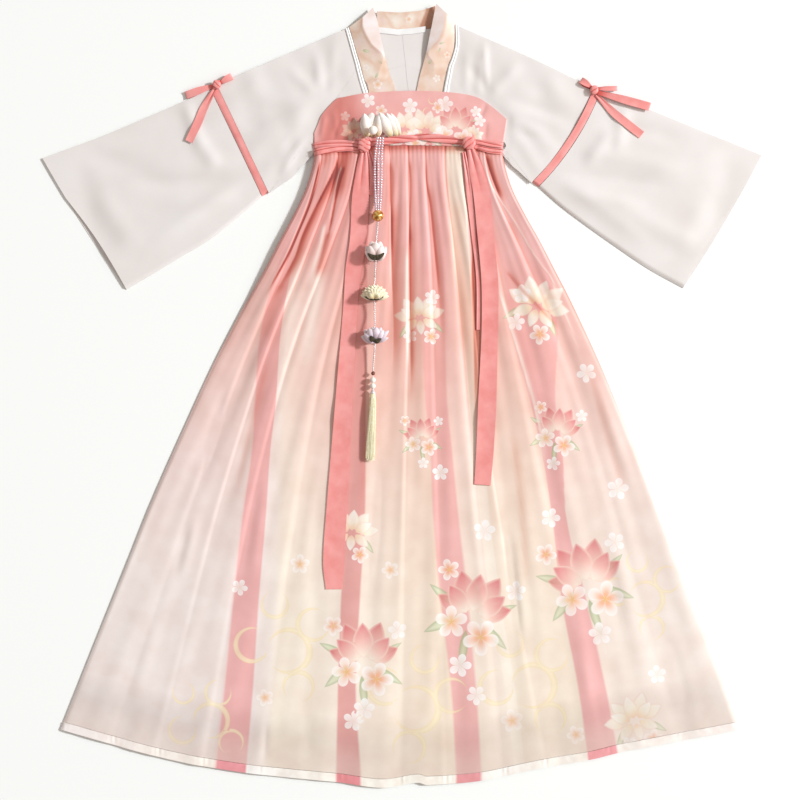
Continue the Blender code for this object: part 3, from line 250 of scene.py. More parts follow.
def multiplied(tree, first, second):
    inputs = {0: 1.0, 6: first, 7: second}
    return add(tree, "ShaderNodeMix", inputs, data_type="RGBA", blend_type="MULTIPLY").outputs[2]


def cut_place(tree):
    """Place across (X) and down (Y) the cut of a panel, from its UV map."""
    place = add(tree, "ShaderNodeUVMap", uv_map="cut")
    return add(tree, "ShaderNodeSeparateXYZ", {0: place.outputs[0]}).outputs


def shader_inputs(tree):
    return tree.nodes["Principled BSDF"].inputs


def dye(tree, colour):
    tree.links.new(colour, shader_inputs(tree)["Base Color"])


def plain_material(name, rough, metal=0.0):
    """A material without a weave: gives the material, its tree and the places on the object."""
    material = bpy.data.materials.new(name)
    material.use_nodes = True
    tree = material.node_tree
    shader_inputs(tree)["Roughness"].default_value = rough
    shader_inputs(tree)["Metallic"].default_value = metal
    return material, tree, add(tree, "ShaderNodeTexCoord").outputs["Object"]


def cloth_material(name, rough, sheen, thread, depth, cloud):
    """A cloth with its weave and a faint cloudiness: gives the material, its tree and the cloud."""
    material, tree, where = plain_material(name, rough)
    inputs = shader_inputs(tree)
    inputs["Sheen Weight"].default_value = sheen
    inputs["Sheen Roughness"].default_value = 0.5
    inputs["Specular IOR Level"].default_value = 0.3
    turns = math.pi / (thread * MM)
    wide = add(tree, "ShaderNodeVectorMath", {0: where, 3: turns}, operation="SCALE")
    axes = add(tree, "ShaderNodeSeparateXYZ", {0: wide.outputs[0]}).outputs
    weave = calc(tree, "MULTIPLY", calc(tree, "SINE", axes["X"]), calc(tree, "SINE", axes["Y"]))
    bump = add(tree, "ShaderNodeBump", {"Height": weave, "Strength": depth, "Distance": 0.0002})
    tree.links.new(bump.outputs[0], inputs["Normal"])
    clouds = add(tree, "ShaderNodeTexNoise", {"Vector": where, "Scale": 1.0 / (cloud * MM), "Detail": 3.0})
    return material, tree, clouds.outputs["Fac"]


BACK_COLUMNS = 60
BACK_ROWS = 60
binding_down = 1.0 - HEM_BINDING / SKIRT_DROP
across, down = np.meshgrid(np.linspace(0.0, 1.0, BACK_COLUMNS + 1), np.linspace(0.0005, 1.0, BACK_ROWS + 1))
x, y = skirt_place(across, down)
cut_places = np.stack([across, down], -1)
skirt_back_mesh = panel_mesh("skirt_back_cloth", x, y, np.full_like(x, 0.9), 0.9, uv=cut_places)
# Plain-woven polyester chiffon, a crepe-like matt cloth; its threads, 0.25 mm apart, are drawn 1.2 mm apart
back_chiffon, tree, cloud = cloth_material("pink_chiffon_back", 0.75, 0.15, 1.2, 0.15, 60.0)
cut = cut_place(tree)
fade = ramped(
    tree, cut["Y"],
    [(0.0, "#EDA39C"), (0.3, "#F0B8AE"), (0.65, "#F4E2D8"), (0.9, "#FBF2EC"), (1.0, "#FDF8F4")],
)
speck = ramped(tree, cloud, [(0.3, "#F2ECEA"), (0.7, "#FFFFFF")])
dye(tree, multiplied(tree, fade, speck))
skirt_back = show(
    "skirt_back_cloth", skirt_back_mesh, back_chiffon, ["skirt_back", "hem_back"],
)
width, length, area = cut_size(x, y)

# Skirt lining: a plain pale panel inside the pleated front, loose at its sides. Its hem ends 40 to 75 mm
# above the outer hem, where its edge shows through the sheer cloth.
LINING_END = [(0.0, 0.925), (0.2, 0.962), (0.5, 0.967), (0.85, 0.972), (1.0, 0.945)]
INSET_LEFT = [(0.0, 0.03), (0.3, 0.035), (1.0, 0.062)]
INSET_RIGHT = [(0.0, 0.03), (0.3, 0.03), (1.0, 0.026)]
TAIL_LEFT = -138.0
TAIL_RIGHT = 160.0
TAIL_Y = 88.0
LIFT_KEPT = 35.0
LIFT_GONE = 95.0
CLEAR_REACH = 45.0


def lift(distance):
    return smooth((LIFT_GONE - distance) / (LIFT_GONE - LIFT_KEPT))


def outside_tail(x, y):
    """Distance from the part of the robe that lies inside the skirt."""
    return np.maximum(np.maximum(TAIL_LEFT - x, x - TAIL_RIGHT), TAIL_Y - y)


across, part_down = np.meshgrid(np.linspace(0.0, 1.0, 71), np.linspace(0.0, 1.0, 61))
down = 0.0005 + (eased(LINING_END, across) - 0.0005) * part_down
left = straight(INSET_LEFT, down)
right = straight(INSET_RIGHT, down)
x, y = skirt_place(left + (1.0 - left - right) * across, down)
lining_top = CLOTH_STEP + 2.0 * CLOTH_STEP * lift(outside_tail(x, y)) + 0.9
cut_places = np.stack([across, part_down], -1)
lining_mesh = panel_mesh("skirt_lining_cloth", x, y, lining_top, 0.4, uv=cut_places)
# Smooth pale lining pongee with a slight gloss, a little whiter at its stitched hem
lining_cloth, tree, cloud = cloth_material("pale_lining_pongee", 0.6, 0.1, 1.2, 0.1, 80.0)
cut = cut_place(tree)
fade = ramped(
    tree, cut["Y"],
    [(0.0, "#F3CFC8"), (0.5, "#F4E2DA"), (0.97, "#F3EAE4"), (1.0, "#FFFDFA")],
)
speck = ramped(tree, cloud, [(0.3, "#F6F2F0"), (0.7, "#FFFFFF")])
dye(tree, multiplied(tree, fade, speck))
skirt_lining = show("skirt_lining_cloth", lining_mesh, lining_cloth, ["skirt_lining"])
width, length, area = cut_size(x, y)

# Skirt front: printed chiffon with 12 soft pleats that are sewn into the chest seam and open out to the hem.
# Pink stripes and flower sprays are printed along it, on a ground that fades from pink to cream.
Pleat = namedtuple("Pleat", "seam middle hem height")
PLEAT_MIDDLE_Y = 114.0
PLEATS = [
    Pleat(-152.8, -295.2, -588.8, 4),
    Pleat(-139.9, -248.6, -500.7, 5),
    Pleat(-110.5, -217.6, -421.3, 5.5),
    Pleat(-74.2, -177.8, -340.1, 4.5),
    Pleat(-48.3, -120.9, -241.7, 4),
    Pleat(-22.4, -19, -107, 5),
    Pleat(10.4, 12.1, 0, 4.5),
    Pleat(40.6, 55.3, 79.4, 5),
    Pleat(74.2, 103.6, 177.8, 4),
    Pleat(108.8, 127.8, 252.1, 4.5),
    Pleat(127.8, 189.9, 359.1, 5.5),
    Pleat(143.3, 265.9, 480, 4.5),
    Pleat(175.4, 315.1, 581.9, 0),
]
PLEAT_ALONG = [(0.0, 0.3), (0.06, 0.5), (0.2, 0.58), (0.35, 0.42), (0.5, 0.28), (0.7, 0.2), (1.0, 0.15)]
PLEAT_STEPS = 22
SKIRT_ROWS = 140
EDGE_ROLL = 6.0
EDGE_STACK = 4.5
# Small waves in the cloth: distance across and down from crest to crest, height, start of the wave
Wave = namedtuple("Wave", "across down height start")
SKIRT_WAVES = [
    Wave(31, 520, 0.16, 0.3),
    Wave(47, -780, 0.24, 2.1),
    Wave(83, 610, 0.45, 1.2),
]
# Creases: both ends of the line, half width, height (a trough has a height below 0)
Crease = namedtuple("Crease", "x1 y1 x2 y2 half_width height")
SKIRT_CREASES = [
    Crease(181, -214, 202, -445, 9, -2.2),
    Crease(192, -214, 214, -430, 11, 1.6),
    Crease(-364, -214, -395, -320, 9, -1.6),
    Crease(-352, -200, -383, -330, 10, 1.4),
    Crease(-235, -560, -236, -640, 6, -1.2),
    Crease(-164, -520, -163, -640, 6, -1.2),
    Crease(330, 40, 395, -150, 12, 1.8),
    Crease(352, -250, 380, -420, 12, -1.6),
    Crease(-420, -380, -470, -560, 14, 1.6),
    Crease(60, -380, 66, -600, 10, -1.3),
    Crease(-40, -60, -52, -330, 11, -1.5),
    Crease(250, 20, 290, -240, 11, 1.5),
    Crease(-300, 30, -352, -160, 11, -1.8),
    Crease(455, -400, 500, -560, 13, -1.5),
    Crease(-140, -120, -160, -420, 9, -1.3),
    Crease(110, -40, 128, -300, 9, 1.3),
    Crease(-230, -80, -262, -360, 10, 1.4),
    Crease(300, -330, 330, -560, 12, 1.4),
]
# Folds: the line of a fold's edge, how far the shade or light painted along it reaches to the left and to
# the right of it, and how strong it is
Fold = namedtuple("Fold", "left right strength line")
# Shade painted along folds; in places the colour is also deeper where the chiffon lies double
PAINTED_SHADE_FOLDS = [
    Fold(1.8, 2.4, 1.25, [(-139, 412.3), (-157.1, 338.4), (-180.6, 278.8), (-200.3, 234.8), (-243, 158.8)]),
    Fold(1.6, 1.6, 0.5, [(-111.7, 412.7), (-114, 393.7), (-129.5, 360.9), (-151.1, 318.6)]),
    Fold(2, 11, 0.8, [
        (-111.7, 408), (-114, 393.7), (-129.5, 360.9), (-151.1, 318.6), (-170.1, 278), (-185.6, 234.8),
        (-228, 158.8),
    ]),
    Fold(1.5, 2.4, 0.85, [(-97.6, 398.8), (-107.4, 372.9), (-116.2, 329.8), (-122.6, 297), (-130, 262)]),
    Fold(3, 9, 0.5, [(-127.8, 286.6), (-136.4, 246.9), (-148, 207.2), (-158, 175)]),
    Fold(11, 13, 0.62, [(-95, 446), (-97, 424), (-107, 372), (-114, 329)]),
    Fold(8, 8, 0.3, [(-128, 446), (-128, 424), (-136, 388)]),
    Fold(12, 12, 0.2, [(92, 350), (98, 250), (104, 150), (110, 20)]),
    Fold(12, 14, 0.2, [(-204, 200), (-222, 150), (-240, 90)]),
    Fold(9, 3, 0.4, [(-22.1, 410.9), (-16.4, 381.6), (-18.1, 314.2), (-17.3, 226.2)]),
    Fold(1.4, 13, 0.42, [(-17.6, 340), (-17.3, 226.2), (-14.7, 165.8), (-13.8, 96.7), (-16, 20)]),
    Fold(1.2, 3.2, 0.5, [(11.6, 412.7), (14.5, 366), (13.1, 305.6), (12.1, 243.5)]),
    Fold(1.2, 6.5, 0.6, [(13.1, 305.6), (12.1, 243.5), (13.8, 165.8), (15.5, 53.5), (14, -20)]),
    Fold(1.4, 3, 0.42, [
        (40.4, 412.7), (41.4, 374.7), (49.2, 326.3), (55.3, 265.9), (61.1, 207.2), (65.6, 157.1),
    ]),
    Fold(2, 9, 0.3, [(41.4, 374.7), (49.2, 326.3), (55.3, 265.9), (61.1, 207.2), (66, 150), (72, 80)]),
    Fold(1.5, 2, 1, [(117.6, 416.1), (117.6, 374.7), (124.7, 335), (129.1, 300.8)]),
    Fold(2, 14, 0.62, [(129.5, 314.2), (124.3, 269.3), (120.9, 200.3), (124.3, 114), (127.8, -76)]),
    Fold(1, 8, 0.95, [(143.3, 418.7), (151.1, 388.5), (163, 355.7), (174, 331.2)]),
    Fold(6, 6, 0.14, [(184.7, 305.6), (200.3, 255.5), (215, 214)]),
    Fold(3, 6, 0.45, [(177, 218.1), (204.6, 184.7), (240, 146.8), (274, 113.1)]),
    Fold(5, 7, 0.2, [(-232, 60), (-262, -60), (-290, -190)]),
    Fold(4, 9, 0.16, [(-62, 60), (-66, -60), (-72, -220)]),
    Fold(4, 8, 0.18, [(190, -60), (206, -200), (216, -340)]),
    Fold(5, 9, 0.16, [(318, 60), (352, -60), (392, -200)]),
]
# Highlights painted along fold edges; in places the paler reverse of the cloth also shows
PAINTED_LIGHT_FOLDS = [
    Fold(1.2, 1.4, 0.7, [
        (137.3, 412.7), (151.1, 367.8), (169.2, 337.6), (196.8, 295.9), (228.4, 242.2), (256.2, 204.6),
        (268.1, 170.9), (291.8, 114), (312, 46.3),
    ]),
    Fold(3, 2, 0.85, [(8.6, 258.3), (7.8, 165.8), (9.5, 96.7), (11.2, 31.4)]),
    Fold(1, 1, 0.5, [(-20.7, 339.8), (-20, 226.2), (-18, 155.8)]),
    Fold(1.2, 0.9, 0.35, [(-142.8, 402.3), (-161, 338.4), (-184.4, 278.8), (-204, 234.8), (-232, 185)]),
    Fold(1.2, 0.9, 0.4, [(-101.6, 402.8), (-111.4, 372.9), (-120.5, 329.8), (-127.2, 287)]),
    Fold(3.5, 3, 0.65, [(-133, 300), (-140, 262), (-152, 222), (-160, 195)]),
    Fold(12, 13, 0.7, [(-144, 222), (-150, 166), (-160, 100), (-172, 30)]),
    Fold(1.5, 4.5, 0.8, [(162, 194.2), (188.2, 114), (234.8, -44.9), (248.9, -137.8)]),
]


def creased(x, y, creases, soft=1.0):
    """Height that soft creases add: highest in the middle of their line, and nothing past its ends.

    A soft of more than 1 makes them longer and wider.
    """
    total = np.zeros_like(x)
    for crease in creases:
        run_x = crease.x2 - crease.x1
        run_y = crease.y2 - crease.y1
        length = math.hypot(run_x, run_y)
        along = ((x - crease.x1) * run_x + (y - crease.y1) * run_y) / length ** 2
        along = (along - 0.5) / soft + 0.5
        aside = ((x - crease.x1) * run_y - (y - crease.y1) * run_x) / length
        fade = smooth(along / 0.35) * smooth((1.0 - along) / 0.35)
        total += crease.height * fade * np.exp(-((aside / (soft * crease.half_width)) ** 2))
    return total


def folded(x, y, folds):
    """Strength of the shade or light painted along the listed folds: full on the line of each edge, and nothing past
    its ends.
    """
    total = np.zeros_like(x)
    for fold in folds:
        level = [-point[1] for point in fold.line]
        aside = x - eased(list(zip(level, [point[0] for point in fold.line])), -y)
        along = (-y - level[0]) / (level[-1] - level[0])
        fade = smooth(along / 0.12) * smooth((1.0 - along) / 0.3)
        reach = np.where(aside < 0.0, fold.left, fold.right)
        total += fold.strength * fade * np.exp(-((aside / reach) ** 2))
    return total


def rippled(across, down, waves):
    return sum(
        wave.height * np.sin(2.0 * math.pi * (across / wave.across + down / wave.down) + wave.start)
        for wave in waves
    )


def fold_share(index, down):
    """How far across the skirt a fold line is, at a place down its length."""
    pleat = PLEATS[index]
    shares = []
    middle_place = (SEAM_Y - PLEAT_MIDDLE_Y) / SKIRT_DROP
    for place, at in ((0.0, pleat.seam), (middle_place, pleat.middle), (1.0, pleat.hem)):
        level = SEAM_Y - SKIRT_DROP * place
        left = skirt_side(level, "left")
        shares.append((place, (at - left) / (skirt_side(level, "right") - left)))
    return np.clip(eased(shares, down), 0.0, 1.0)


def skirt_front_grid(downs):
    """Places, heights, painted shade and painted light of the pleated front at rows down its length."""
    column = np.arange(PLEAT_STEPS * (len(PLEATS) - 1) + 1)
    index = np.minimum(column // PLEAT_STEPS, len(PLEATS) - 2)
    part = (column - index * PLEAT_STEPS) / PLEAT_STEPS
    part = 0.4 * part + 0.6 * (0.5 - 0.5 * np.cos(math.pi * part))
    folds = np.stack([fold_share(number, downs) for number in range(len(PLEATS))], 1)
    across = folds[:, index] + (folds[:, index + 1] - folds[:, index]) * part
    down = np.repeat(downs[:, None], len(column), 1)
    x, y = skirt_place(across, down)
    height = np.array([pleat.height for pleat in PLEATS])[index]
    section = np.where(part < 0.84, smooth(part / 0.84) ** 0.8, 1.0 - smooth((part - 0.84) / 0.16))
    from_left = x - skirt_side(y, "left")
    side = np.minimum(from_left, skirt_side(y, "right") - x)
    rise = height * section * straight(PLEAT_ALONG, down)
    rise += rippled(1000.0 * across, 1000.0 * down, SKIRT_WAVES) * smooth(down / 0.08)
    rise += 0.3 * np.sin(2.0 * math.pi * across * 46.0 + 3.0 * down) * smooth((0.05 - down) / 0.05)
    rise += creased(x, y, SKIRT_CREASES)
    # Shade and light painted along the listed folds; they also lower and raise the cloth a little
    shade = folded(x, y, PAINTED_SHADE_FOLDS)
    light = folded(x, y, PAINTED_LIGHT_FOLDS)
    rise += 0.4 * light - 0.5 * shade
    rest = 2.0 * CLOTH_STEP * (1.0 + lift(outside_tail(x, y) - CLEAR_REACH)) + SOLID_CLOTH
    stacked = smooth((0.42 - down) / 0.3) * smooth(1.0 - from_left / 70.0)
    top = rest + np.maximum(rise, -0.6) + EDGE_STACK * stacked
    edge_top = CLOTH_STEP + 0.6 + 0.6 * EDGE_STACK * stacked
    top = edge_top + (top - edge_top) * smooth((side + 0.5) / EDGE_ROLL)
    # Painted shade: a thin line at each pleat's fold, where the chiffon also lies double, and a broad one on each
    # pleat's low side
    line = np.exp(-((part / 0.05) ** 2)) + 0.6 * np.exp(-(((1.0 - part) / 0.03) ** 2))
    shade += 0.25 * line * smooth((0.35 - down) / 0.3) + 0.1 * (1.0 - section) * smooth((0.6 - down) / 0.4)
    # Painted shade under the tie, at the chest seam
    shade += 0.7 * smooth((0.016 - down) / 0.016)
    # Painted light over the sheer hem
    light += 0.35 * smooth((down - 0.93) / 0.05)
    # Painted shade along the right edge
    shade += 0.35 * np.exp(-(((skirt_side(y, "right") - x) / 3.5) ** 2)) * smooth((0.5 - down) / 0.3)
    return x, y, down, top, shade, light


# Printed stripes: x of each stripe's edges at rows down the skirt. The cream strip lies between two
# pink ones.
StripeRow = namedtuple(
    "StripeRow", "y s1_left s1_right cream s2_left s2_right s3_left s3_right c_left c_right s4_left s4_right",
)
STRIPES = [
    StripeRow(416.1, -145, -131.2, -124.3, -69.1, -51.8, 17.3, 58.7, 74.2, 108.8, 134.7, 174.4),
    StripeRow(252.1, -205.5, -183, -170.9, -81.2, -58.7, 31.1, 70.8, 86.3, 115.7, 169.2, 246.9),
    StripeRow(114, -243.4, -208.9, -193.4, -89.8, -60.4, 34.5, 74.2, 103.6, 127.8, 189.9, 269.3),
    StripeRow(-6.9, -253.8, -217.6, -205.5, -91.5, -62.2, 39.7, 77.7, 114, 131.2, 221, 264.2),
    StripeRow(-93.2, -259, -227.9, -208.9, -95, -62.2, 48.3, 86.3, 122.6, 139.9, 241.7, 276.3),
    StripeRow(-214.1, -276.3, -236.5, -210.6, -98.4, -63.9, 53.5, 98.4, 134.7, 151.9, 260.7, 283.2),
    StripeRow(-352.2, -291.8, -248.6, -215.8, -105.3, -72.5, 65.6, 114, 151.9, 169.2, 276.3, 317.7),
    StripeRow(-507.6, -307.3, -259, -224.5, -110.5, -79.4, 84.6, 127.8, 177.8, 195.1, 305.6, 352.2),
    StripeRow(-649.2, -322.9, -271.1, -234.8, -114, -70.8, 93.2, 136.4, 195.1, 212.4, 324.6, 378.1),
]
STRIPE_AT = [0.0, 0.2, 0.25, 0.29, 0.4, 0.44, 0.56, 0.6, 0.63, 0.67, 0.8, 0.85, 1.0]


def stripe_share(x, y):
    """Place across the printed cloth, in which each stripe keeps its own share from the seam to the hem."""
    lines = [skirt_side(y, "left")]
    for name in StripeRow._fields[1:]:
        lines.append(eased([(-row.y, getattr(row, name)) for row in STRIPES], -y))
    right = skirt_side(y, "right")
    lines.append(right)
    for number in range(1, len(lines)):
        lines[number] = np.minimum(np.maximum(lines[number], lines[number - 1] + 2.0), right + 2.0 * number)
    share = np.zeros_like(x)
    for number in range(len(lines) - 1):
        inside = np.clip((x - lines[number]) / (lines[number + 1] - lines[number]), 0.0, 1.0)
        share += inside * (STRIPE_AT[number + 1] - STRIPE_AT[number])
    return share


# Printed sprays: kind, middle, turn in degrees and size of each, then single blossoms
Spray = namedtuple("Spray", "kind x y turn size")
SPRAYS = [
    Spray("lotus", -66, -452, 92, 1.15),
    Spray("lotus", 122, -372, 78, 1.25),
    Spray("lotus", 318, -318, 106, 1.25),
    Spray("lotus", 268, -60, 84, 0.75),
    Spray("lotus", 34, -70, 95, 0.6),
    Spray("peony", 234, 158, 70, 0.95),
    Spray("peony", 30, 138, 96, 0.75),
    Spray("peony", -86, -232, 84, 0.8),
    Spray("peony", 400, -556, 110, 0.9),
    Spray("scrolls", -196, -440, 12, 1),
    Spray("scrolls", 24, -540, -14, 1.05),
    Spray("scrolls", 226, -500, 24, 1),
    Spray("scrolls", -330, -560, 40, 0.8),
    Spray("scrolls", 420, -350, 8, 0.8),
]
Motif = namedtuple("Motif", "x y turn size tone")
PEACH = 0.0
WHITE = 2.0
SINGLE_BLOSSOMS = [
    Motif(142, -232, 10, 20, WHITE), Motif(-20, -300, 40, 16, PEACH),
    Motif(256, -210, 70, 18, WHITE), Motif(190, -560, 30, 21, PEACH),
    Motif(128, -516, 55, 18, WHITE), Motif(-176, -290, 15, 18, PEACH),
    Motif(440, -480, 25, 17, WHITE), Motif(318, 40, 50, 18, WHITE),
    Motif(-84, -560, 5, 19, WHITE), Motif(-236, -520, 33, 16, PEACH),
    Motif(372, -160, 80, 20, WHITE), Motif(66, -132, 20, 15, WHITE),
    Motif(206, 176, 20, 17, WHITE), Motif(300, -584, 44, 17, PEACH),
    Motif(-280, -330, 62, 15, WHITE), Motif(52, 170, 8, 14, WHITE),
]


def spray_motifs(sprays):
    """The scrolls, leaves, petals and blossoms of each spray, in its own place and turn."""
    layers = {"scroll": [], "leaf": [], "petal": [], "petal_front": [], "blossom": [], "blossom_front": []}
    coral = 0.3
    cream = 2.3
    plans = {
        "lotus": [
            ("leaf", 4, 26, 62, 46, 0.14), ("leaf", -10, 20, 128, 52, 0.15),
            ("leaf", -14, -16, 236, 50, 0.14), ("leaf", -26, 4, 184, 56, 0.12),
            ("leaf", 2, -24, 300, 40, 0.13),
            ("petal", 0, 6, 22, 58, coral), ("petal", 0, -6, 338, 58, coral),
            ("petal", -4, 12, 66, 44, coral), ("petal", -4, -12, 294, 44, coral),
            ("petal_front", 0, 0, 0, 54, coral), ("petal_front", -3, 8, 44, 46, coral),
            ("petal_front", -3, -8, 316, 46, coral),
            ("blossom", -20, 26, 12, 24, PEACH), ("blossom_front", -32, -18, 50, 27, PEACH),
            ("blossom", 40, -52, 80, 15, WHITE), ("blossom_front", 50, 44, 30, 16, PEACH),
            ("blossom", -76, 2, 66, 17, WHITE),
        ],
        "peony": [
            ("leaf", -12, 22, 140, 46, 0.15), ("leaf", -12, -22, 222, 44, 0.15),
            ("petal", 0, 8, 30, 50, cream), ("petal", 0, -8, 330, 50, cream),
            ("petal", -2, 14, 78, 46, cream), ("petal", -2, -14, 282, 46, cream),
            ("petal", -8, 8, 128, 38, cream), ("petal", -8, -8, 232, 38, cream),
            ("petal_front", 0, 0, 0, 46, cream), ("petal_front", -2, 8, 56, 40, cream),
            ("petal_front", -2, -8, 304, 40, cream), ("petal_front", -10, 0, 180, 34, cream),
            ("blossom", -44, 26, 12, 17, WHITE), ("blossom_front", -50, -22, 50, 20, PEACH),
        ],
        "scrolls": [
            ("scroll", 0, 0, 0, 46, 0), ("scroll", 52, 36, 190, 34, 0),
            ("scroll", -58, 24, 200, 36, 0), ("scroll", 4, -64, 60, 32, 0),
            ("scroll", -6, 84, 250, 28, 0),
        ],
    }
    for spray in sprays:
        turn = math.radians(spray.turn)
        for layer, along, aside, angle, size, tone in plans[spray.kind]:
            layers[layer].append(Motif(
                spray.x + spray.size * (along * math.cos(turn) - aside * math.sin(turn)),
                spray.y + spray.size * (along * math.sin(turn) + aside * math.cos(turn)),
                spray.turn + angle, spray.size * size, tone,
            ))
    return {name: motifs for name, motifs in layers.items() if motifs}


def print_layer(mesh, name, motifs, from_base=False):
    """Gives the corners of each face their place in the motif that covers it, so the print stays sharp."""
    points = np.empty(len(mesh.vertices) * 3, np.float32)
    mesh.vertices.foreach_get("co", points)
    points = points.reshape(-1, 3)[:, :2] / MM
    corner = corner_points(mesh).reshape(-1, 4)
    middle = points[corner].mean(1)
    reach = np.abs(points[corner] - middle[:, None]).max(axis=(1, 2))
    table = np.array(motifs, float)
    turn = np.radians(table[:, 2])
    size = table[:, 3]
    centre = table[:, :2].copy()
    radius = size.copy()
    if from_base:
        radius = 0.5 * size
        centre += 0.5 * size[:, None] * np.stack([np.cos(turn), np.sin(turn)], -1)
    gap = np.linalg.norm(middle[:, None] - centre[None], axis=2)
    nearest = np.argmin(gap / radius[None], axis=1)
    covered = gap[np.arange(len(gap)), nearest] < radius[nearest] * 1.2 + 1.5 * reach
    chosen = table[nearest]
    away = points[corner] - chosen[:, None, :2]
    turned = turn[nearest][:, None]
    local_x = (away[..., 0] * np.cos(turned) + away[..., 1] * np.sin(turned)) / chosen[:, None, 3]
    local_y = (away[..., 1] * np.cos(turned) - away[..., 0] * np.sin(turned)) / chosen[:, None, 3]
    values = np.stack([local_x, local_y, np.broadcast_to(chosen[:, None, 4], local_x.shape)], -1)
    values[~covered] = (9.0, 9.0, 0.0)
    layer = mesh.attributes.new(name, "FLOAT_VECTOR", "CORNER")
    layer.data.foreach_set("vector", values.astype(np.float32).ravel())


def ranged(tree, value, low, high, start=0.0, end=1.0, way="LINEAR"):
    """A value between low and high moved to between start and end."""
    inputs = {0: value, 1: low, 2: high, 3: start, 4: end}
    return add(tree, "ShaderNodeMapRange", inputs, interpolation_type=way).outputs[0]


def print_sprays(mesh, sprays, single_blossoms):
    layers = spray_motifs(sprays)
    layers["blossom"] += single_blossoms
    for name, motifs in layers.items():
        print_layer(mesh, "print_" + name, motifs, from_base=name in ("leaf", "petal", "petal_front"))


def shape_group(name, outputs):
    """A node group that turns the place in a printed motif into how much it covers and its tone."""
    group = bpy.data.node_groups.new(name, "ShaderNodeTree")
    group.interface.new_socket("Place", in_out="INPUT", socket_type="NodeSocketVector")
    for output in outputs:
        group.interface.new_socket(output, in_out="OUTPUT", socket_type="NodeSocketFloat")
    inside = add(group, "NodeGroupInput").outputs[0]
    axes = add(group, "ShaderNodeSeparateXYZ", {0: inside}).outputs
    return group, axes["X"], axes["Y"], axes["Z"], add(group, "NodeGroupOutput")


def blossom_group():
    """Five round petals about a small eye."""
    group, x, y, z, end = shape_group("printed blossom", ["Cover", "Tone", "Vein", "Second"])
    flat = add(group, "ShaderNodeCombineXYZ", {0: x, 1: y})
    radius = add(group, "ShaderNodeVectorMath", {0: flat.outputs[0]}, operation="LENGTH").outputs["Value"]
    angle = calc(group, "ARCTAN2", y, x)
    turn = calc(group, "MULTIPLY", angle, 2.5)
    wave = calc(group, "COSINE", turn)
    petal = calc(group, "ABSOLUTE", wave)
    round_petal = calc(group, "POWER", petal, 0.55)
    edge = calc(group, "MULTIPLY_ADD", round_petal, 0.62, 0.36)
    room = calc(group, "SUBTRACT", edge, radius)
    cover = ranged(group, room, 0.0, 0.07)
    tone = calc(group, "DIVIDE", radius, edge)
    vein = ranged(group, petal, 0.0, 0.35)
    second = calc(group, "GREATER_THAN", z, 1.5)
    for number, value in enumerate((cover, tone, vein, second)):
        group.links.new(value, end.inputs[number])
    return group


def leaf_group():
    """A pointed leaf or petal from its base (0) to its tip (1), as wide as its code says."""
    group, x, y, z, end = shape_group("printed leaf", ["Cover", "Tone", "Vein", "Second"])
    second = calc(group, "GREATER_THAN", z, 1.5)
    width = calc(group, "MULTIPLY_ADD", second, -2.0, z)
    long = add(group, "ShaderNodeClamp", {0: x}).outputs[0]
    eased_long = calc(group, "POWER", long, 0.85)
    turn = calc(group, "MULTIPLY", eased_long, math.pi)
    full = calc(group, "SINE", turn)
    round_full = calc(group, "POWER", full, 0.8)
    half = calc(group, "MULTIPLY", round_full, width)
    aside = calc(group, "ABSOLUTE", y)
    room = calc(group, "SUBTRACT", half, aside)
    cover = ranged(group, room, 0.0, 0.03)
    rim = ranged(group, room, 0.0, 0.1)
    for number, value in enumerate((cover, long, rim, second)):
        group.links.new(value, end.inputs[number])
    return group


def scroll_group():
    """A tapered crescent, one curl of the gold scrollwork."""
    group, x, y, _, end = shape_group("printed scroll", ["Cover", "Tone"])
    flat = add(group, "ShaderNodeCombineXYZ", {0: x, 1: y})
    radius = add(group, "ShaderNodeVectorMath", {0: flat.outputs[0]}, operation="LENGTH").outputs["Value"]
    angle = calc(group, "ARCTAN2", y, x)
    half_turn = calc(group, "MULTIPLY", angle, 0.5)
    taper = calc(group, "COSINE", half_turn)
    width = calc(group, "MULTIPLY_ADD", taper, 0.17, -0.03)
    off = calc(group, "SUBTRACT", radius, 0.8)
    away = calc(group, "ABSOLUTE", off)
    room = calc(group, "SUBTRACT", width, away)
    cover = ranged(group, room, 0.0, 0.04)
    group.links.new(cover, end.inputs[0])
    group.links.new(room, end.inputs[1])
    return group


# Printed layers: the layer's shape, how strong it is, the colour of its veins, then one or two colourings
PRINT_LOOKS = [
    ("scroll", scroll_group, 0.75, "#F4D9A4", [(0.0, "#F4DCAC"), (0.1, "#FAEBC8"), (1.0, "#FCF1D6")], None),
    ("leaf", leaf_group, 0.8, "#9FB183", [(0.0, "#AEBB8C"), (0.5, "#D3DAB6"), (1.0, "#EEF0D8")], None),
    (
        "petal", leaf_group, 0.9, "#F4D3C4", [(0.0, "#FBF0DD"), (0.4, "#F3BFB4"), (1.0, "#D9606C")],
        [(0.0, "#F6DDB4"), (0.4, "#FAEDD8"), (1.0, "#FBF5EE")],
    ),
    (
        "petal_front", leaf_group, 0.92, "#F6DACB", [(0.0, "#FCF3E2"), (0.4, "#F5C7BC"), (1.0, "#DE6A74")],
        [(0.0, "#F5CFA6"), (0.4, "#FBF0DE"), (1.0, "#FDF9F3")],
    ),
    (
        "blossom", blossom_group, 0.85, "#F3D6C4",
        [(0.0, "#EDB968"), (0.25, "#F7C9A4"), (0.6, "#FAE9DD"), (1.0, "#FFFBF7")],
        [(0.0, "#F6E7DE"), (1.0, "#FFFDFC")],
    ),
    (
        "blossom_front", blossom_group, 0.9, "#F3D6C4",
        [(0.0, "#EDB968"), (0.3, "#F5B795"), (0.7, "#FBE9DF"), (1.0, "#FFFCF9")],
        [(0.0, "#F6E7DE"), (1.0, "#FFFDFC")],
    ),
]
shape_groups = {}


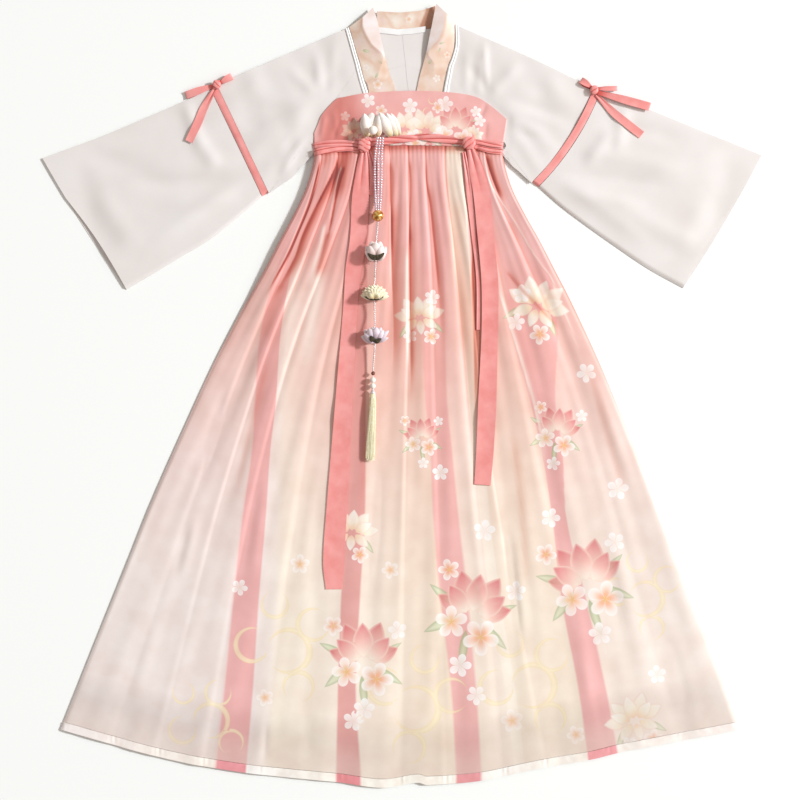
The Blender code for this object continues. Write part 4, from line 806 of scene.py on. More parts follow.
def mixed(tree, share, first, second):
    return add(tree, "ShaderNodeMix", {0: share, 6: first, 7: second}, data_type="RGBA").outputs[2]


def marked(tree, name):
    """The number that mark() kept for each point."""
    return add(tree, "ShaderNodeAttribute", attribute_name=name).outputs["Fac"]


ALL_PRINTS = [look[0] for look in PRINT_LOOKS]


def printed(tree, ground, cloud, layers=ALL_PRINTS):
    """Lays the printed layers over a ground colour: scrolls first, then leaves, petals and blossoms."""
    worn = ranged(tree, cloud, 0.25, 0.5, 0.75, 1.0)
    looks = [look for look in PRINT_LOOKS if look[0] in layers]
    for name, build, strength, line, stops, second_stops in looks:
        if build not in shape_groups:
            shape_groups[build] = build()
        place = add(tree, "ShaderNodeAttribute", attribute_name="print_" + name).outputs["Vector"]
        shape = add(tree, "ShaderNodeGroup", node_tree=shape_groups[build])
        tree.links.new(place, shape.inputs[0])
        colour = ramped(tree, shape.outputs["Tone"], stops)
        if second_stops:
            other = ramped(tree, shape.outputs["Tone"], second_stops)
            colour = mixed(tree, shape.outputs["Second"], colour, other)
        if "Vein" in shape.outputs:
            colour = mixed(tree, shape.outputs["Vein"], paint(line), colour)
        cover = calc(tree, "MULTIPLY", calc(tree, "MULTIPLY", shape.outputs["Cover"], strength), worn)
        ground = mixed(tree, cover, ground, colour)
    return ground


downs = 0.0003 + (binding_down - 0.0006) * np.linspace(0.0, 1.0, SKIRT_ROWS + 1) ** 1.1
x, y, down, top, shade, light = skirt_front_grid(downs)
cut_places = np.stack([stripe_share(x, y), down], -1)
skirt_mesh = panel_mesh("skirt_front_cloth", x, y, top, CHIFFON, uv=cut_places)
mark(skirt_mesh, "fold", shade)
mark(skirt_mesh, "lit", light)
print_sprays(skirt_mesh, SPRAYS, SINGLE_BLOSSOMS)

# Printed polyester chiffon, matt and slightly sheer: it is deeper in the folds, where it lies double, and shade and
# highlights are painted along its folds
skirt_chiffon, tree, cloud = cloth_material("printed_pleated_chiffon", 0.7, 0.15, 1.2, 0.15, 45.0)
cut = cut_place(tree)
TOP_COLOURS = [
    (0.0, "#EFB0AC"), (0.199, "#F0B2AD"), (0.2, "#F3B9B5"), (0.25, "#F3B9B5"), (0.251, "#F0B2AC"),
    (0.399, "#EFAFA9"), (0.4, "#EBA49D"), (0.44, "#EBA49D"), (0.441, "#F4BAB4"), (0.559, "#F4B8B2"),
    (0.56, "#F5BBB7"), (0.6, "#F5BBB7"), (0.601, "#F3B6B2"), (0.629, "#F4BFB6"), (0.631, "#FAE7D7"),
    (0.669, "#FAE7D7"), (0.671, "#F4BCB6"), (0.799, "#F3B9B4"), (0.8, "#F6C0BB"), (0.85, "#F6C0BB"),
    (0.851, "#F3B6B1"), (1.0, "#F2B2AC"),
]
MIDDLE_COLOURS = [
    (0.0, "#EFC3BA"), (0.199, "#EDC4BA"), (0.2, "#EDAFA9"), (0.25, "#EDAFA9"), (0.251, "#F2D2C7"),
    (0.285, "#F9E2D6"), (0.33, "#F3C8BD"), (0.399, "#EFBBB0"), (0.4, "#E79D95"), (0.44, "#E79D95"),
    (0.441, "#F1BBAF"), (0.559, "#F1B9AE"), (0.56, "#F2B2AA"), (0.6, "#F2B2AA"), (0.601, "#F8C1B9"),
    (0.629, "#F7C8BC"), (0.631, "#F7D2C0"), (0.669, "#F7D2C0"), (0.671, "#EDBCAE"), (0.799, "#EFBCB1"),
    (0.8, "#F1B3AD"), (0.85, "#F1B3AD"), (0.851, "#F1C2B8"), (1.0, "#F0BEB4"),
]
HEM_COLOURS = [
    (0.0, "#F1E5E0"), (0.199, "#F0E3DD"), (0.2, "#EFB6B3"), (0.25, "#EFB6B3"), (0.251, "#F3E6E1"),
    (0.285, "#F4E8DE"), (0.3, "#F7EAD9"), (0.399, "#F6E9DB"), (0.4, "#E7ABA5"), (0.44, "#E7ABA5"),
    (0.441, "#F9EBDC"), (0.559, "#F4E2CE"), (0.56, "#F1BAB5"), (0.6, "#F1BAB5"), (0.601, "#F6E5D5"),
    (0.629, "#F8EADC"), (0.631, "#FAEFE0"), (0.669, "#FAEFE0"), (0.671, "#F8E9D7"), (0.799, "#F5E5D3"),
    (0.8, "#F0B8B4"), (0.85, "#F0B8B4"), (0.851, "#F7E7DB"), (1.0, "#F3E6DD"),
]
upper = ramped(tree, cut["X"], TOP_COLOURS)
middle = ramped(tree, cut["X"], MIDDLE_COLOURS)
lower = ramped(tree, cut["X"], HEM_COLOURS)
ground = mixed(tree, ranged(tree, cut["Y"], 0.12, 0.28, way="SMOOTHSTEP"), upper, middle)
second = ramped(
    tree, cut["Y"],
    [(0.3, "#000000"), (0.43, "#AAAAAA"), (0.5, "#CBCBCB"), (0.6, "#E7E7E7"), (0.75, "#FFFFFF")],
)
ground = mixed(tree, second, ground, lower)
ground = printed(tree, ground, cloud)
# Painted shade from skirt_front_grid, with the deeper colour where the chiffon lies double
fold = marked(tree, "fold")
doubling_and_painted_shade = ramped(
    tree, fold, [(0.0, "#FFFFFF"), (0.3, "#F4DCD5"), (0.55, "#DFAEA3"), (0.8, "#C98579"), (1.0, "#9F6460")],
)
ground = multiplied(tree, ground, doubling_and_painted_shade)
# Painted highlights along fold edges, with the paler reverse of the cloth in places, and painted light over the hem
lit = marked(tree, "lit")
ground = mixed(tree, lit, ground, paint("#FCEBDF"))
ground = multiplied(tree, ground, ramped(tree, cloud, [(0.3, "#F7F2F0"), (0.7, "#FFFFFF")]))
dye(tree, ground)
tree.links.new(ranged(tree, cut["Y"], 0.9, 0.94, 1.0, 0.78), shader_inputs(tree)["Alpha"])
skirt_front = show("skirt_front_cloth", skirt_mesh, skirt_chiffon, ["skirt_front"])
width, length, area = cut_size(x, y)

# Hem binding: a folded strip of satin that closes the outer hem, a little puckered by its stitching.
# It takes the colours of the stripes above it.
downs = np.linspace(binding_down + 0.0003, 1.0, 6)
hem_x, hem_y, hem_down, hem_top = skirt_front_grid(downs)[:4]
pucker = 0.5 * np.sin(2.0 * math.pi * hem_x / 9.0 + 2.0 * np.sin(hem_x / 37.0))
hem_top = hem_top + 0.7 + pucker * smooth((1.0 - hem_down) / (1.0 - binding_down) / 0.5) * 0.8
cut_places = np.stack([stripe_share(hem_x, hem_y), hem_down], -1)
hem_mesh = panel_mesh("hem_front_binding", hem_x, hem_y, hem_top, 1.2, uv=cut_places)
# Polyester satin: smooth floats on its face give a soft gloss that breaks at each pucker
hem_satin, tree, cloud = cloth_material("satin_hem_binding", 0.42, 0.1, 0.8, 0.1, 14.0)
cut = cut_place(tree)
BINDING_COLOURS = [
    (0.0, "#F9EFEB"), (0.199, "#FBF1E6"), (0.2, "#EE9EA3"), (0.25, "#EE9EA3"), (0.251, "#FCF7F2"),
    (0.399, "#FCF5EA"), (0.4, "#EB9599"), (0.44, "#EB9599"), (0.441, "#FCF5EA"), (0.559, "#FCF5EA"),
    (0.56, "#EFA3A5"), (0.6, "#EFA3A5"), (0.601, "#FDF7F0"), (0.799, "#FCF3E8"), (0.8, "#EFA3A5"),
    (0.85, "#EFA3A5"), (0.851, "#FBF2E9"), (1.0, "#F9EEE8"),
]
base = ramped(tree, cut["X"], BINDING_COLOURS)
speck = ramped(tree, cloud, [(0.3, "#F8F3F1"), (0.6, "#FFFFFF")])
dye(tree, multiplied(tree, base, speck))
hem_front = show("hem_front_binding", hem_mesh, hem_satin, ["hem_front"])

# Robe: two backs joined by a centre-back seam and two fronts, each in one piece with its upper sleeve,
# in sheer white organza. The lower half is hidden inside the skirt.
RobeRow = namedtuple("RobeRow", "inner_x inner_y middle_x middle_y outer_x outer_y")
FRONT_LEFT = [
    RobeRow(-91.5, 635.4, -205, 587, -319.7, 537.8),
    RobeRow(-86.3, 618.1, -190, 550, -292.6, 481.3),
    RobeRow(-79.4, 594, -173, 518, -270, 434.2),
    RobeRow(-73.2, 573.7, -152, 464, -233.4, 358),
    RobeRow(-72.5, 571.5, -150, 460, -229.3, 349.6),
    RobeRow(-71.8, 569, -148.5, 459, -226.9, 351.2),
    RobeRow(-65.6, 545.6, -134, 450, -205.5, 366),
    RobeRow(-61.3, 532, -120, 455, -183, 384.2),
    RobeRow(-58, 522, -114, 470, -174.4, 419.6),
    RobeRow(-54.5, 500, -102, 475, -146, 455),
    RobeRow(-48.3, 440, -96, 432, -140, 420),
    RobeRow(-42.5, 373, -92, 372, -138, 370),
    RobeRow(-41.5, TAIL_Y, -90, TAIL_Y, -138, TAIL_Y),
]
FRONT_RIGHT = [
    RobeRow(90.7, 640.6, 212, 588, 330.3, 531),
    RobeRow(91.5, 621.6, 206, 556, 309.4, 486.1),
    RobeRow(90.7, 602.6, 196, 528, 285.3, 443.5),
    RobeRow(85.5, 583.6, 178, 498, 256.3, 404.1),
    RobeRow(80, 569.5, 152.8, 468.3, 226.2, 371.2),
    RobeRow(79.4, 568, 150, 465, 222.9, 367.5),
    RobeRow(79.1, 566.3, 149, 464.5, 220.8, 369.4),
    RobeRow(76, 550.8, 140, 460, 202, 386.8),
    RobeRow(73.4, 538.7, 130, 462, 186.5, 402.3),
    RobeRow(71, 525, 124, 478, 177.1, 436.8),
    RobeRow(64, 490, 114, 458, 161, 425),
    RobeRow(50.5, 407.5, 106, 400, 160, 390),
    RobeRow(42.5, 373, 100, 372, 160, 370),
    RobeRow(41.8, TAIL_Y, 100, TAIL_Y, 160, TAIL_Y),
]
BACK_LEFT = [
    RobeRow(0, 626.5, -89.8, 634.6, -319.7, 537.8),
    RobeRow(2, 606, -84, 606, -292.6, 481.3),
    RobeRow(4, 588, -84, 580, -270, 434.2),
    RobeRow(5.8, 572.7, -89.4, 548.5, -233.4, 358),
    RobeRow(6, 571, -90, 545, -229.3, 349.6),
    RobeRow(6.1, 569.3, -90.6, 542, -226.9, 351.2),
    RobeRow(7.5, 554, -96, 515, -205.5, 366),
    RobeRow(9, 540, -98, 490, -183, 384.2),
    RobeRow(10.5, 528, -100, 473, -174.4, 419.6),
    RobeRow(12, 507, -100, 460, -146, 455),
    RobeRow(13.5, 470, -96, 440, -140, 420),
    RobeRow(13, 400, -92, 380, -138, 370),
    RobeRow(0, TAIL_Y, -90, TAIL_Y, -138, TAIL_Y),
]
BACK_RIGHT = [
    RobeRow(0, 626.5, 90, 639.7, 330.3, 531),
    RobeRow(2, 606, 92, 606, 309.4, 486.1),
    RobeRow(4, 588, 92, 580, 285.3, 443.5),
    RobeRow(5, 579, 93, 560, 256.3, 404.1),
    RobeRow(5.9, 571.8, 95.7, 537.5, 226.2, 371.2),
    RobeRow(6, 571, 96, 535, 222.9, 367.5),
    RobeRow(6.1, 569.3, 96.6, 532.5, 220.8, 369.4),
    RobeRow(7.5, 554, 102, 510, 202, 386.8),
    RobeRow(9, 540, 108, 490, 186.5, 402.3),
    RobeRow(10.5, 528, 110, 470, 177.1, 436.8),
    RobeRow(12, 507, 108, 458, 161, 425),
    RobeRow(13.5, 470, 104, 420, 160, 390),
    RobeRow(13, 400, 100, 380, 160, 370),
    RobeRow(0, TAIL_Y, 100, TAIL_Y, 160, TAIL_Y),
]
BandColumn = namedtuple("BandColumn", "top_x top_y bottom_x")
BAND = [
    BandColumn(-153.7, 447.2, -153.7), BandColumn(-145, 467.9, -141.6), BandColumn(-136.4, 486.9, -127.8),
    BandColumn(-114, 511.1, -107), BandColumn(-100.1, 515.2, -89.8), BandColumn(-62.2, 521.9, -55.3),
    BandColumn(0, 525.7, 0), BandColumn(31.1, 525.9, 31.1), BandColumn(84.6, 523.2, 81.2),
    BandColumn(124.3, 516.3, 117.4), BandColumn(147.6, 504.2, 141.6), BandColumn(176.1, 480.9, 164),
    BandColumn(180.6, 475.7, 174.4),
]
ROBE_CREASES = [
    Crease(-168, 486, -262, 420, 8, 2.2),
    Crease(-160, 500, -255, 452, 7, 1.8),
    Crease(-152, 512, -232, 506, 8, 1.6),
    Crease(-146, 518, -190, 560, 7, 1.7),
    Crease(-138, 522, -150, 590, 6, 1.3),
    Crease(-176, 470, -238, 378, 7, 1.5),
    Crease(-246, 540, -300, 500, 11, 1.3),
    Crease(-120, 530, -118, 600, 6, 1),
    Crease(184, 486, 262, 430, 8, 2.1),
    Crease(178, 500, 268, 470, 7, 1.7),
    Crease(166, 514, 232, 520, 8, 1.5),
    Crease(152, 520, 196, 566, 7, 1.7),
    Crease(132, 524, 140, 600, 5, 1.3),
    Crease(190, 464, 236, 390, 7, 1.4),
    Crease(250, 540, 300, 498, 11, 1.3),
    Crease(110, 530, 112, 588, 5, 1.1),
    Crease(-187.3, 437.7, -222, 408, 4, -1.6),
    Crease(-196, 470, -262, 462, 6, -1.3),
    Crease(-210, 500, -286, 470, 9, -1.2),
    Crease(-112, 560, -150, 520, 7, -1.2),
    Crease(-172, 440, -204, 392, 5, 1.8),
    Crease(200, 452, 262, 440, 6, -1.3),
    Crease(206, 500, 290, 476, 9, -1.2),
    Crease(118, 566, 150, 524, 6, -1.2),
    Crease(146, 536, 143, 600, 2.2, 1.4),
]
CREASE_FULLNESS = 1.25
CREASE_SOFTNESS = 1.6
ROBE_COLUMNS = 48
ROBE_ROWS = 110
ORGANZA = 0.35


def outside_skirt(x, y):
    """Distance from the skirt and chest band, nothing or less where they are."""
    above = y > SEAM_Y
    left = np.where(above, BAND[0].top_x, skirt_side(y, "left"))
    right = np.where(above, BAND[-1].top_x, skirt_side(y, "right"))
    band_top = straight([(column.top_x, column.top_y) for column in BAND], x)
    return np.maximum(np.maximum(left - x, x - right), y - band_top)


def robe_back_top(x, y):
    return CLOTH_STEP * lift(outside_skirt(x, y)) + SOLID_CLOTH


def robe_front_top(x, y):
    return CLOTH_STEP * lift(outside_skirt(x, y) - CLEAR_REACH) + CLOTH_STEP + SOLID_CLOTH


def read_rows(rows, place):
    """Each field of a table of named rows, along a smooth curve through them. Place 0 is the first row."""
    return {
        field: eased([(number, getattr(row, field)) for number, row in enumerate(rows)], place)
        for field in rows[0]._fields
    }


def through(share, first, middle, last):
    """Straight from the first value to the middle one, at half, and on to the last."""
    half = np.where(share < 0.5, 2.0 * share, 2.0 * share - 1.0)
    return np.where(share < 0.5, first + (middle - first) * half, middle + (last - middle) * half)


def robe_grid(table, columns, rows):
    u, v = np.meshgrid(np.linspace(0.0, 1.0, columns + 1), np.linspace(0.0, len(table) - 1.0, rows + 1))
    read = read_rows(table, v)
    return [
        through(u, read["inner" + axis], read["middle" + axis], read["outer" + axis]) for axis in ("_x", "_y")
    ]


# Sheer organza: stiff fine polyester, white with a cool grey cast, that lets the layer below show through
organza, tree, cloud = cloth_material("sheer_white_organza", 0.6, 0.2, 1.0, 0.12, 90.0)
tint = ramped(tree, cloud, [(0.3, "#F0E7E2"), (0.7, "#F6EFEB")])
dye(tree, tint)
shader_inputs(tree)["Alpha"].default_value = 0.86

robe = {}
for name, table, shift in (
    ("robe_back_left", BACK_LEFT, 0.0), ("robe_back_right", BACK_RIGHT, 0.3),
    ("robe_front_left", FRONT_LEFT, 0.0), ("robe_front_right", FRONT_RIGHT, 0.0),
):
    x, y = robe_grid(table, ROBE_COLUMNS, ROBE_ROWS)
    x = x + shift
    if "front" in name:
        shown = smooth(outside_skirt(x, y) / 12.0)
        rise = CREASE_FULLNESS * creased(x, y, ROBE_CREASES, CREASE_SOFTNESS)
        rise += 0.3 * np.sin(x / 9.0 + y / 23.0)
        top = robe_front_top(x, y) + shown * rise
    else:
        top = robe_back_top(x, y)
    mesh = panel_mesh(name + "_cloth", x, y, top, ORGANZA)
    robe[name] = show(name + "_cloth", mesh, organza, [name])
    width, length, area = cut_size(x, y)

# Lower sleeves: each is one piece of the same organza, folded at the top edge, sewn along the bottom
# and open at the cuff, where its hem is turned in. The front layer has the creases of a carried sleeve.
SleeveStation = namedtuple("SleeveStation", "top_x top_y bottom_x bottom_y bow")
SLEEVES = {
    "sleeve_left": [
        SleeveStation(-331.9, 532.3, -240.9, 342.6, 0),
        SleeveStation(-367.8, 514.5, -271.1, 316, 0),
        SleeveStation(-443.7, 481.7, -328.1, 269.4, 1),
        SleeveStation(-518, 450.7, -376.4, 240, 2),
        SleeveStation(-569.8, 431.7, -424.8, 210.7, 3),
        SleeveStation(-621.6, 412.7, -473.8, 181.3, 4),
    ],
    "sleeve_right": [
        SleeveStation(342.7, 525.2, 234.2, 359, 10.4),
        SleeveStation(385, 511.1, 272.8, 324.6, 9),
        SleeveStation(433.4, 493.8, 316, 291.8, 7),
        SleeveStation(497.3, 467.9, 364.3, 257.3, 6),
        SleeveStation(559.4, 442.9, 423, 217.6, 5),
        SleeveStation(621.6, 417.8, 483.4, 183.9, 4.5),
    ],
}
SLEEVE_HEIGHT = 3.0
TUBE_AROUND = 128
SLEEVE_RINGS = 66
SLEEVE_CREASES = [
    Crease(-545, 420, -420, 375, 13, -1.6),
    Crease(-460, 380, -300, 402, 10, 2),
    Crease(-440, 366, -290, 372, 8, -1.5),
    Crease(-520, 340, -470, 270, 13, 1.5),
    Crease(-500, 255, -330, 330, 12, 2),
    Crease(-420, 270, -290, 360, 9, 1.5),
    Crease(-372, 500, -350, 440, 7, 2.2),
    Crease(-352, 440, -322, 400, 8, 2.2),
    Crease(-560, 400, -530, 300, 14, -1.2),
    Crease(545, 420, 420, 380, 13, 1.6),
    Crease(470, 392, 330, 420, 10, 2),
    Crease(440, 366, 300, 380, 8, -1.5),
    Crease(520, 330, 480, 262, 13, 1.5),
    Crease(500, 262, 330, 345, 12, 2),
    Crease(410, 275, 290, 360, 9, 1.5),
    Crease(384, 492, 372, 430, 8, 2),
    Crease(356, 450, 322, 405, 8, 2),
    Crease(566, 400, 540, 290, 14, -1.2),
    Crease(-590, 300, -470, 200, 16, 1.4),
    Crease(-480, 440, -350, 470, 9, -1.4),
    Crease(-400, 330, -300, 340, 8, 1.4),
    Crease(590, 300, 480, 205, 16, 1.4),
    Crease(470, 448, 360, 470, 9, -1.4),
    Crease(400, 330, 300, 350, 8, 1.4),
]


def tube_grids(stations, height, wall, crown, rings, around, creases, slit=0.0):
    """Outer and inner points of a tube pressed flat: back layer, folded top, front layer, bottom seam."""
    places = np.linspace(0.0, len(stations) - 1.0, rings)
    along, turn = np.meshgrid(places, np.arange(around) / around, indexing="ij")
    read = read_rows(stations, along)
    front = turn >= 0.5
    across = np.where(front, 2.0 - 2.0 * turn, 2.0 * turn)
    across = across * 0.98 + 0.01
    edge = np.minimum(across, 1.0 - across)
    round_edge = np.sqrt(np.clip(edge / 0.02, 0.0, 1.0) * (2.0 - np.clip(edge / 0.02, 0.0, 1.0)))
    span_x = read["top_x"] - read["bottom_x"]
    span_y = read["top_y"] - read["bottom_y"]
    span = np.hypot(span_x, span_y)
    outward = read["bow"] * 4.0 * across * (1.0 - across) * np.sign(stations[0].top_x)
    out = along / (len(stations) - 1.0)
    parted = smooth((out - 0.6) / 0.4) * np.sin(math.pi * np.clip(across / 0.7, 0, 1))
    outward = outward + np.where(front, -slit * parted, 0.0) * np.sign(stations[0].top_x)
    place_x = read["bottom_x"] + span_x * across + span_y / span * outward
    place_y = read["bottom_y"] + span_y * across - span_x / span * outward
    full = crown * 4.0 * across * (1.0 - across) * smooth((1.0 - out) / 0.25)
    middle = 0.5 * height
    wrinkles = CREASE_FULLNESS * creased(place_x, place_y, creases, CREASE_SOFTNESS)
    top = middle + (middle + full) * round_edge + wrinkles * round_edge
    low = middle - middle * round_edge
    outer = np.stack([place_x, place_y, np.where(front, top, low)], -1)
    inner_z = np.where(front, np.maximum(top - wall, middle), np.minimum(low + wall, middle))
    shrink = 1.0 - wall / np.maximum(span, 1.0)
    inner_x = read["bottom_x"] + span_x * (0.5 + (across - 0.5) * shrink) + span_y / span * outward
    inner_y = read["bottom_y"] + span_y * (0.5 + (across - 0.5) * shrink) - span_x / span * outward
    return outer, np.stack([inner_x, inner_y, inner_z], -1)


for name, stations in SLEEVES.items():
    outer, inner = tube_grids(
        stations, SLEEVE_HEIGHT, ORGANZA, 2.0, SLEEVE_RINGS, TUBE_AROUND, SLEEVE_CREASES, slit=7.0,
    )
    mesh = cloth_mesh(name + "_cloth", outer, inner, closed=True)
    robe[name] = show(name + "_cloth", mesh, organza, [name])
    half = outer[:, :TUBE_AROUND // 2]
    width, length, area = cut_size(half[..., 0], half[..., 1])

# Collar: two long strips of printed satin that roll over at a crease, and a back band that joins them.
# White piping lies along their outer edges, and a white tape covers the seam at the back neck.
CollarRow = namedtuple(
    "CollarRow", "outer_x outer_y crease_x crease_y inner_x inner_y outer_up crease_up inner_up",
)
COLLARS = {
    "collar_left": [
        CollarRow(-90.8, 636.4, -68, 652, -50.1, 669.1, 1, 6, 4),
        CollarRow(-85.6, 618.4, -67, 634, -43.2, 649.2, 1, 7, 4),
        CollarRow(-78.6, 594.3, -53, 607, -36.3, 618.1, 1, 6.5, 4),
        CollarRow(-71.7, 571.8, -32.5, 585, -29.4, 586, 0.5, 4.5, 3.5),
        CollarRow(-64.9, 545.9, -41.4, 550.8, -20.7, 552.5, 0.3, 3, 1),
        CollarRow(-57.5, 527.5, -34.5, 528.5, -12.6, 529.5, 0, 0, 0),
        CollarRow(-47.7, 440, -27.6, 441, -5.2, 442, 0, 0, 0),
        CollarRow(-41.9, 373, -22, 373, -1.2, 373, 0, 0, 0),
        CollarRow(-40.9, TAIL_Y, -20.7, TAIL_Y, -0.7, TAIL_Y, 0, 0, 0),
    ],
    "collar_right": [
        CollarRow(90.1, 641.6, 76, 659.3, 58.7, 675.1, 1, 8, 8),
        CollarRow(90.9, 621.6, 72, 636.3, 53.5, 649.2, 1, 8.5, 7),
        CollarRow(90.1, 602.3, 62.8, 614.7, 48.3, 623.3, 1, 7.5, 6),
        CollarRow(84.8, 583.3, 44.5, 591, 41.8, 592.4, 0.5, 5, 4),
        CollarRow(78.7, 567.4, 55.3, 569.8, 36.3, 571.5, 0.3, 3, 1),
        CollarRow(70.2, 529.5, 48.3, 529.5, 25.9, 529.5, 0, 0, 0),
        CollarRow(49.8, 407.5, 27, 408.5, 4.3, 409.5, 0, 0, 0),
        CollarRow(41.8, 373, 21.5, 373, 1.4, 373, 0, 0, 0),
        CollarRow(41.1, TAIL_Y, 20.7, TAIL_Y, 0.7, TAIL_Y, 0, 0, 0),
    ],
}
BackCollarColumn = namedtuple("BackCollarColumn", "x free_y seam_y")
COLLAR_BACK = [
    BackCollarColumn(-43.2, 663, 631.6), BackCollarColumn(-24.2, 662, 629.8),
    BackCollarColumn(-6.9, 661, 627.8), BackCollarColumn(15.5, 662.5, 629.5),
    BackCollarColumn(35.2, 665.1, 632.2), BackCollarColumn(57.3, 672.2, 635.5),
]
COLLAR_CLOTH = 0.9
NECK_TAPE_HALF = 44.0
NECK_TAPE_MIDDLE_X = -3.0

# Duchess satin with a soft watercolour print in peach, cream and pink, and a few small sage leaves. Its
# rolled-over inner face is a paler pink.
collar_satin, tree, cloud = cloth_material("printed_collar_satin", 0.42, 0.1, 0.8, 0.1, 26.0)
where = add(tree, "ShaderNodeTexCoord").outputs["Object"]
blots = add(tree, "ShaderNodeTexNoise", {"Vector": where, "Scale": 24.0, "Detail": 2.0, "Distortion": 0.3})
wash = ramped(
    tree, blots.outputs["Fac"],
    [(0.3, "#F3DDD7"), (0.45, "#F2DDCD"), (0.55, "#EFD0BC"), (0.65, "#F5E3D3"), (0.75, "#FAF0E5")],
)
wash = printed(tree, wash, cloud, ("leaf", "blossom"))
turned = marked(tree, "lit")
wash = mixed(tree, turned, wash, paint("#F4E8E5"))
# Painted shade along the crease where the strips roll over, and a painted shadow of the right strip on the back band
shaded = marked(tree, "fold")
wash = multiplied(tree, wash, ramped(tree, shaded, [(0.0, "#FFFFFF"), (1.0, "#D2B4A6")]))
dye(tree, multiplied(tree, wash, ramped(tree, cloud, [(0.35, "#F6ECE6"), (0.65, "#FFFFFF")])))
COLLAR_LEAVES = [
    Motif(-68, 596, 345, 13, 0.2), Motif(64, 606, 20, 11, 0.16), Motif(66, 600, 250, 9, 0.16),
    Motif(46, 572, 60, 9, 0.3), Motif(-34, 572, 140, 9, 0.16), Motif(-46, 548, 60, 11, 0.18),
]
COLLAR_BLOSSOMS = [
    Motif(-42, 537, 12, 9, PEACH), Motif(60, 548, 40, 7, WHITE), Motif(-62, 566, 0, 6, WHITE),
    Motif(78, 588, 25, 6, PEACH), Motif(12, 650, 15, 7, PEACH),
]

collar_cuts = {}
for name, table in COLLARS.items():
    u, v = np.meshgrid(np.linspace(0.0, 1.0, 25), np.linspace(0.0, len(table) - 1.0, 97))
    read = read_rows(table, v)
    x, y, up = (
        through(u, read["outer" + axis], read["crease" + axis], read["inner" + axis])
        for axis in ("_x", "_y", "_up")
    )
    top = robe_back_top(x, y) + CLOTH_STEP + up
    mesh = panel_mesh(name + "_cloth", x, y, top, COLLAR_CLOTH)
    print_layer(mesh, "print_leaf", COLLAR_LEAVES, from_base=True)
    print_layer(mesh, "print_blossom", COLLAR_BLOSSOMS)
    mark(mesh, "lit", smooth((u - 0.49) / 0.04) * smooth((3.05 - v) / 0.1))
    # Painted shade along the crease
    mark(mesh, "fold", 0.5 * np.exp(-(((u - 0.46) / 0.05) ** 2)) * smooth(3.2 - v))
    show(name + "_cloth", mesh, collar_satin, [name])
    collar_cuts[name] = cut_size(x, y)

u, v = np.meshgrid(np.linspace(0.0, len(COLLAR_BACK) - 1.0, 41), np.linspace(0.0, 1.0, 17))
columns = read_rows(COLLAR_BACK, u)
x = columns["x"]
y = columns["seam_y"] + 0.3 + (columns["free_y"] - columns["seam_y"]) * v
top = 3.0 * v ** 2 + SOLID_CLOTH
mesh = panel_mesh("collar_back_cloth", x, y, top, COLLAR_CLOTH)
print_layer(mesh, "print_leaf", COLLAR_LEAVES, from_base=True)
print_layer(mesh, "print_blossom", COLLAR_BLOSSOMS)
mark(mesh, "lit", np.zeros_like(x))
# Painted shadow of the right collar strip over the right end of the back band
mark(mesh, "fold", smooth((x - 26.0 - 14.0 * v) / 4.0))
show("collar_back_cloth", mesh, collar_satin, ["collar_back"])
width, length, area = cut_size(x, y)

# White polyester grosgrain: fine ribs across the tape, slightly glossy
white_tape, tree, cloud = cloth_material("white_grosgrain_tape", 0.5, 0.1, 0.8, 0.3, 20.0)
tint = ramped(tree, cloud, [(0.3, "#F3EFEC"), (0.7, "#FCFAF8")])
dye(tree, tint)
u, v = np.meshgrid(np.linspace(-1.0, 1.0, 41), np.linspace(0.0, 1.0, 6))
x = NECK_TAPE_MIDDLE_X + NECK_TAPE_HALF * u
y = straight([(column.x, column.seam_y) for column in COLLAR_BACK], x) - 5.0 + 10.0 * v
top = np.full_like(x, CLOTH_STEP + 0.9)
mesh = panel_mesh("neck_tape_cloth", x, y, top, 0.6)
neck_tape = show("neck_tape_cloth", mesh, white_tape, ["neck_tape"])
for strip, name, table, rows, side in (
    ("collar_left", "piping_left", FRONT_LEFT, 8.4, -1.0),
    ("collar_right", "piping_right", FRONT_RIGHT, 9.4, 1.0),
):
    u, v = np.meshgrid(np.linspace(0.0, 1.0, 13), np.linspace(0.0, 1.0, 61))
    edge = read_rows(table, rows * v)
    x = edge["inner_x"] + side * (0.5 + (6.0 + 3.0 * v) * u)
    y = edge["inner_y"] - 2.0 * u
    top = robe_front_top(x, y) + 0.6 + 0.9 * np.abs(np.sin(2.0 * math.pi * u))
    mesh = panel_mesh(name + "_cloth", x, y, top, 0.5)
    piping = show(name + "_cloth", mesh, white_tape, [name])
    width, length, area = collar_cuts[strip]

# Chest band: a stiffened strip of the same pink chiffon over the bust, sewn to the pleats below it,
# with a row of printed blossoms along its lower edge. Its back lies flat on the table.
BAND_FULLNESS = 1.4
BAND_EASE = 60.0
BAND_STEPS = len(BAND) - 1.0


def band_grid(columns, rows):
    u, v = np.meshgrid(np.linspace(0.0, len(BAND) - 1.0, columns + 1), np.linspace(0.0, 1.0, rows + 1))
    read = read_rows(BAND, u)
    seam_left = PLEATS[0].seam
    share = (read["bottom_x"] - seam_left) / (PLEATS[-1].seam - seam_left)
    bottom_y = SEAM_Y + SEAM_RISE * 4.0 * share * (1.0 - share) + 0.3
    x = read["top_x"] + (read["bottom_x"] - read["top_x"]) * v
    y = read["top_y"] + (bottom_y - read["top_y"]) * v
    return x, y, u, v, read["top_y"]


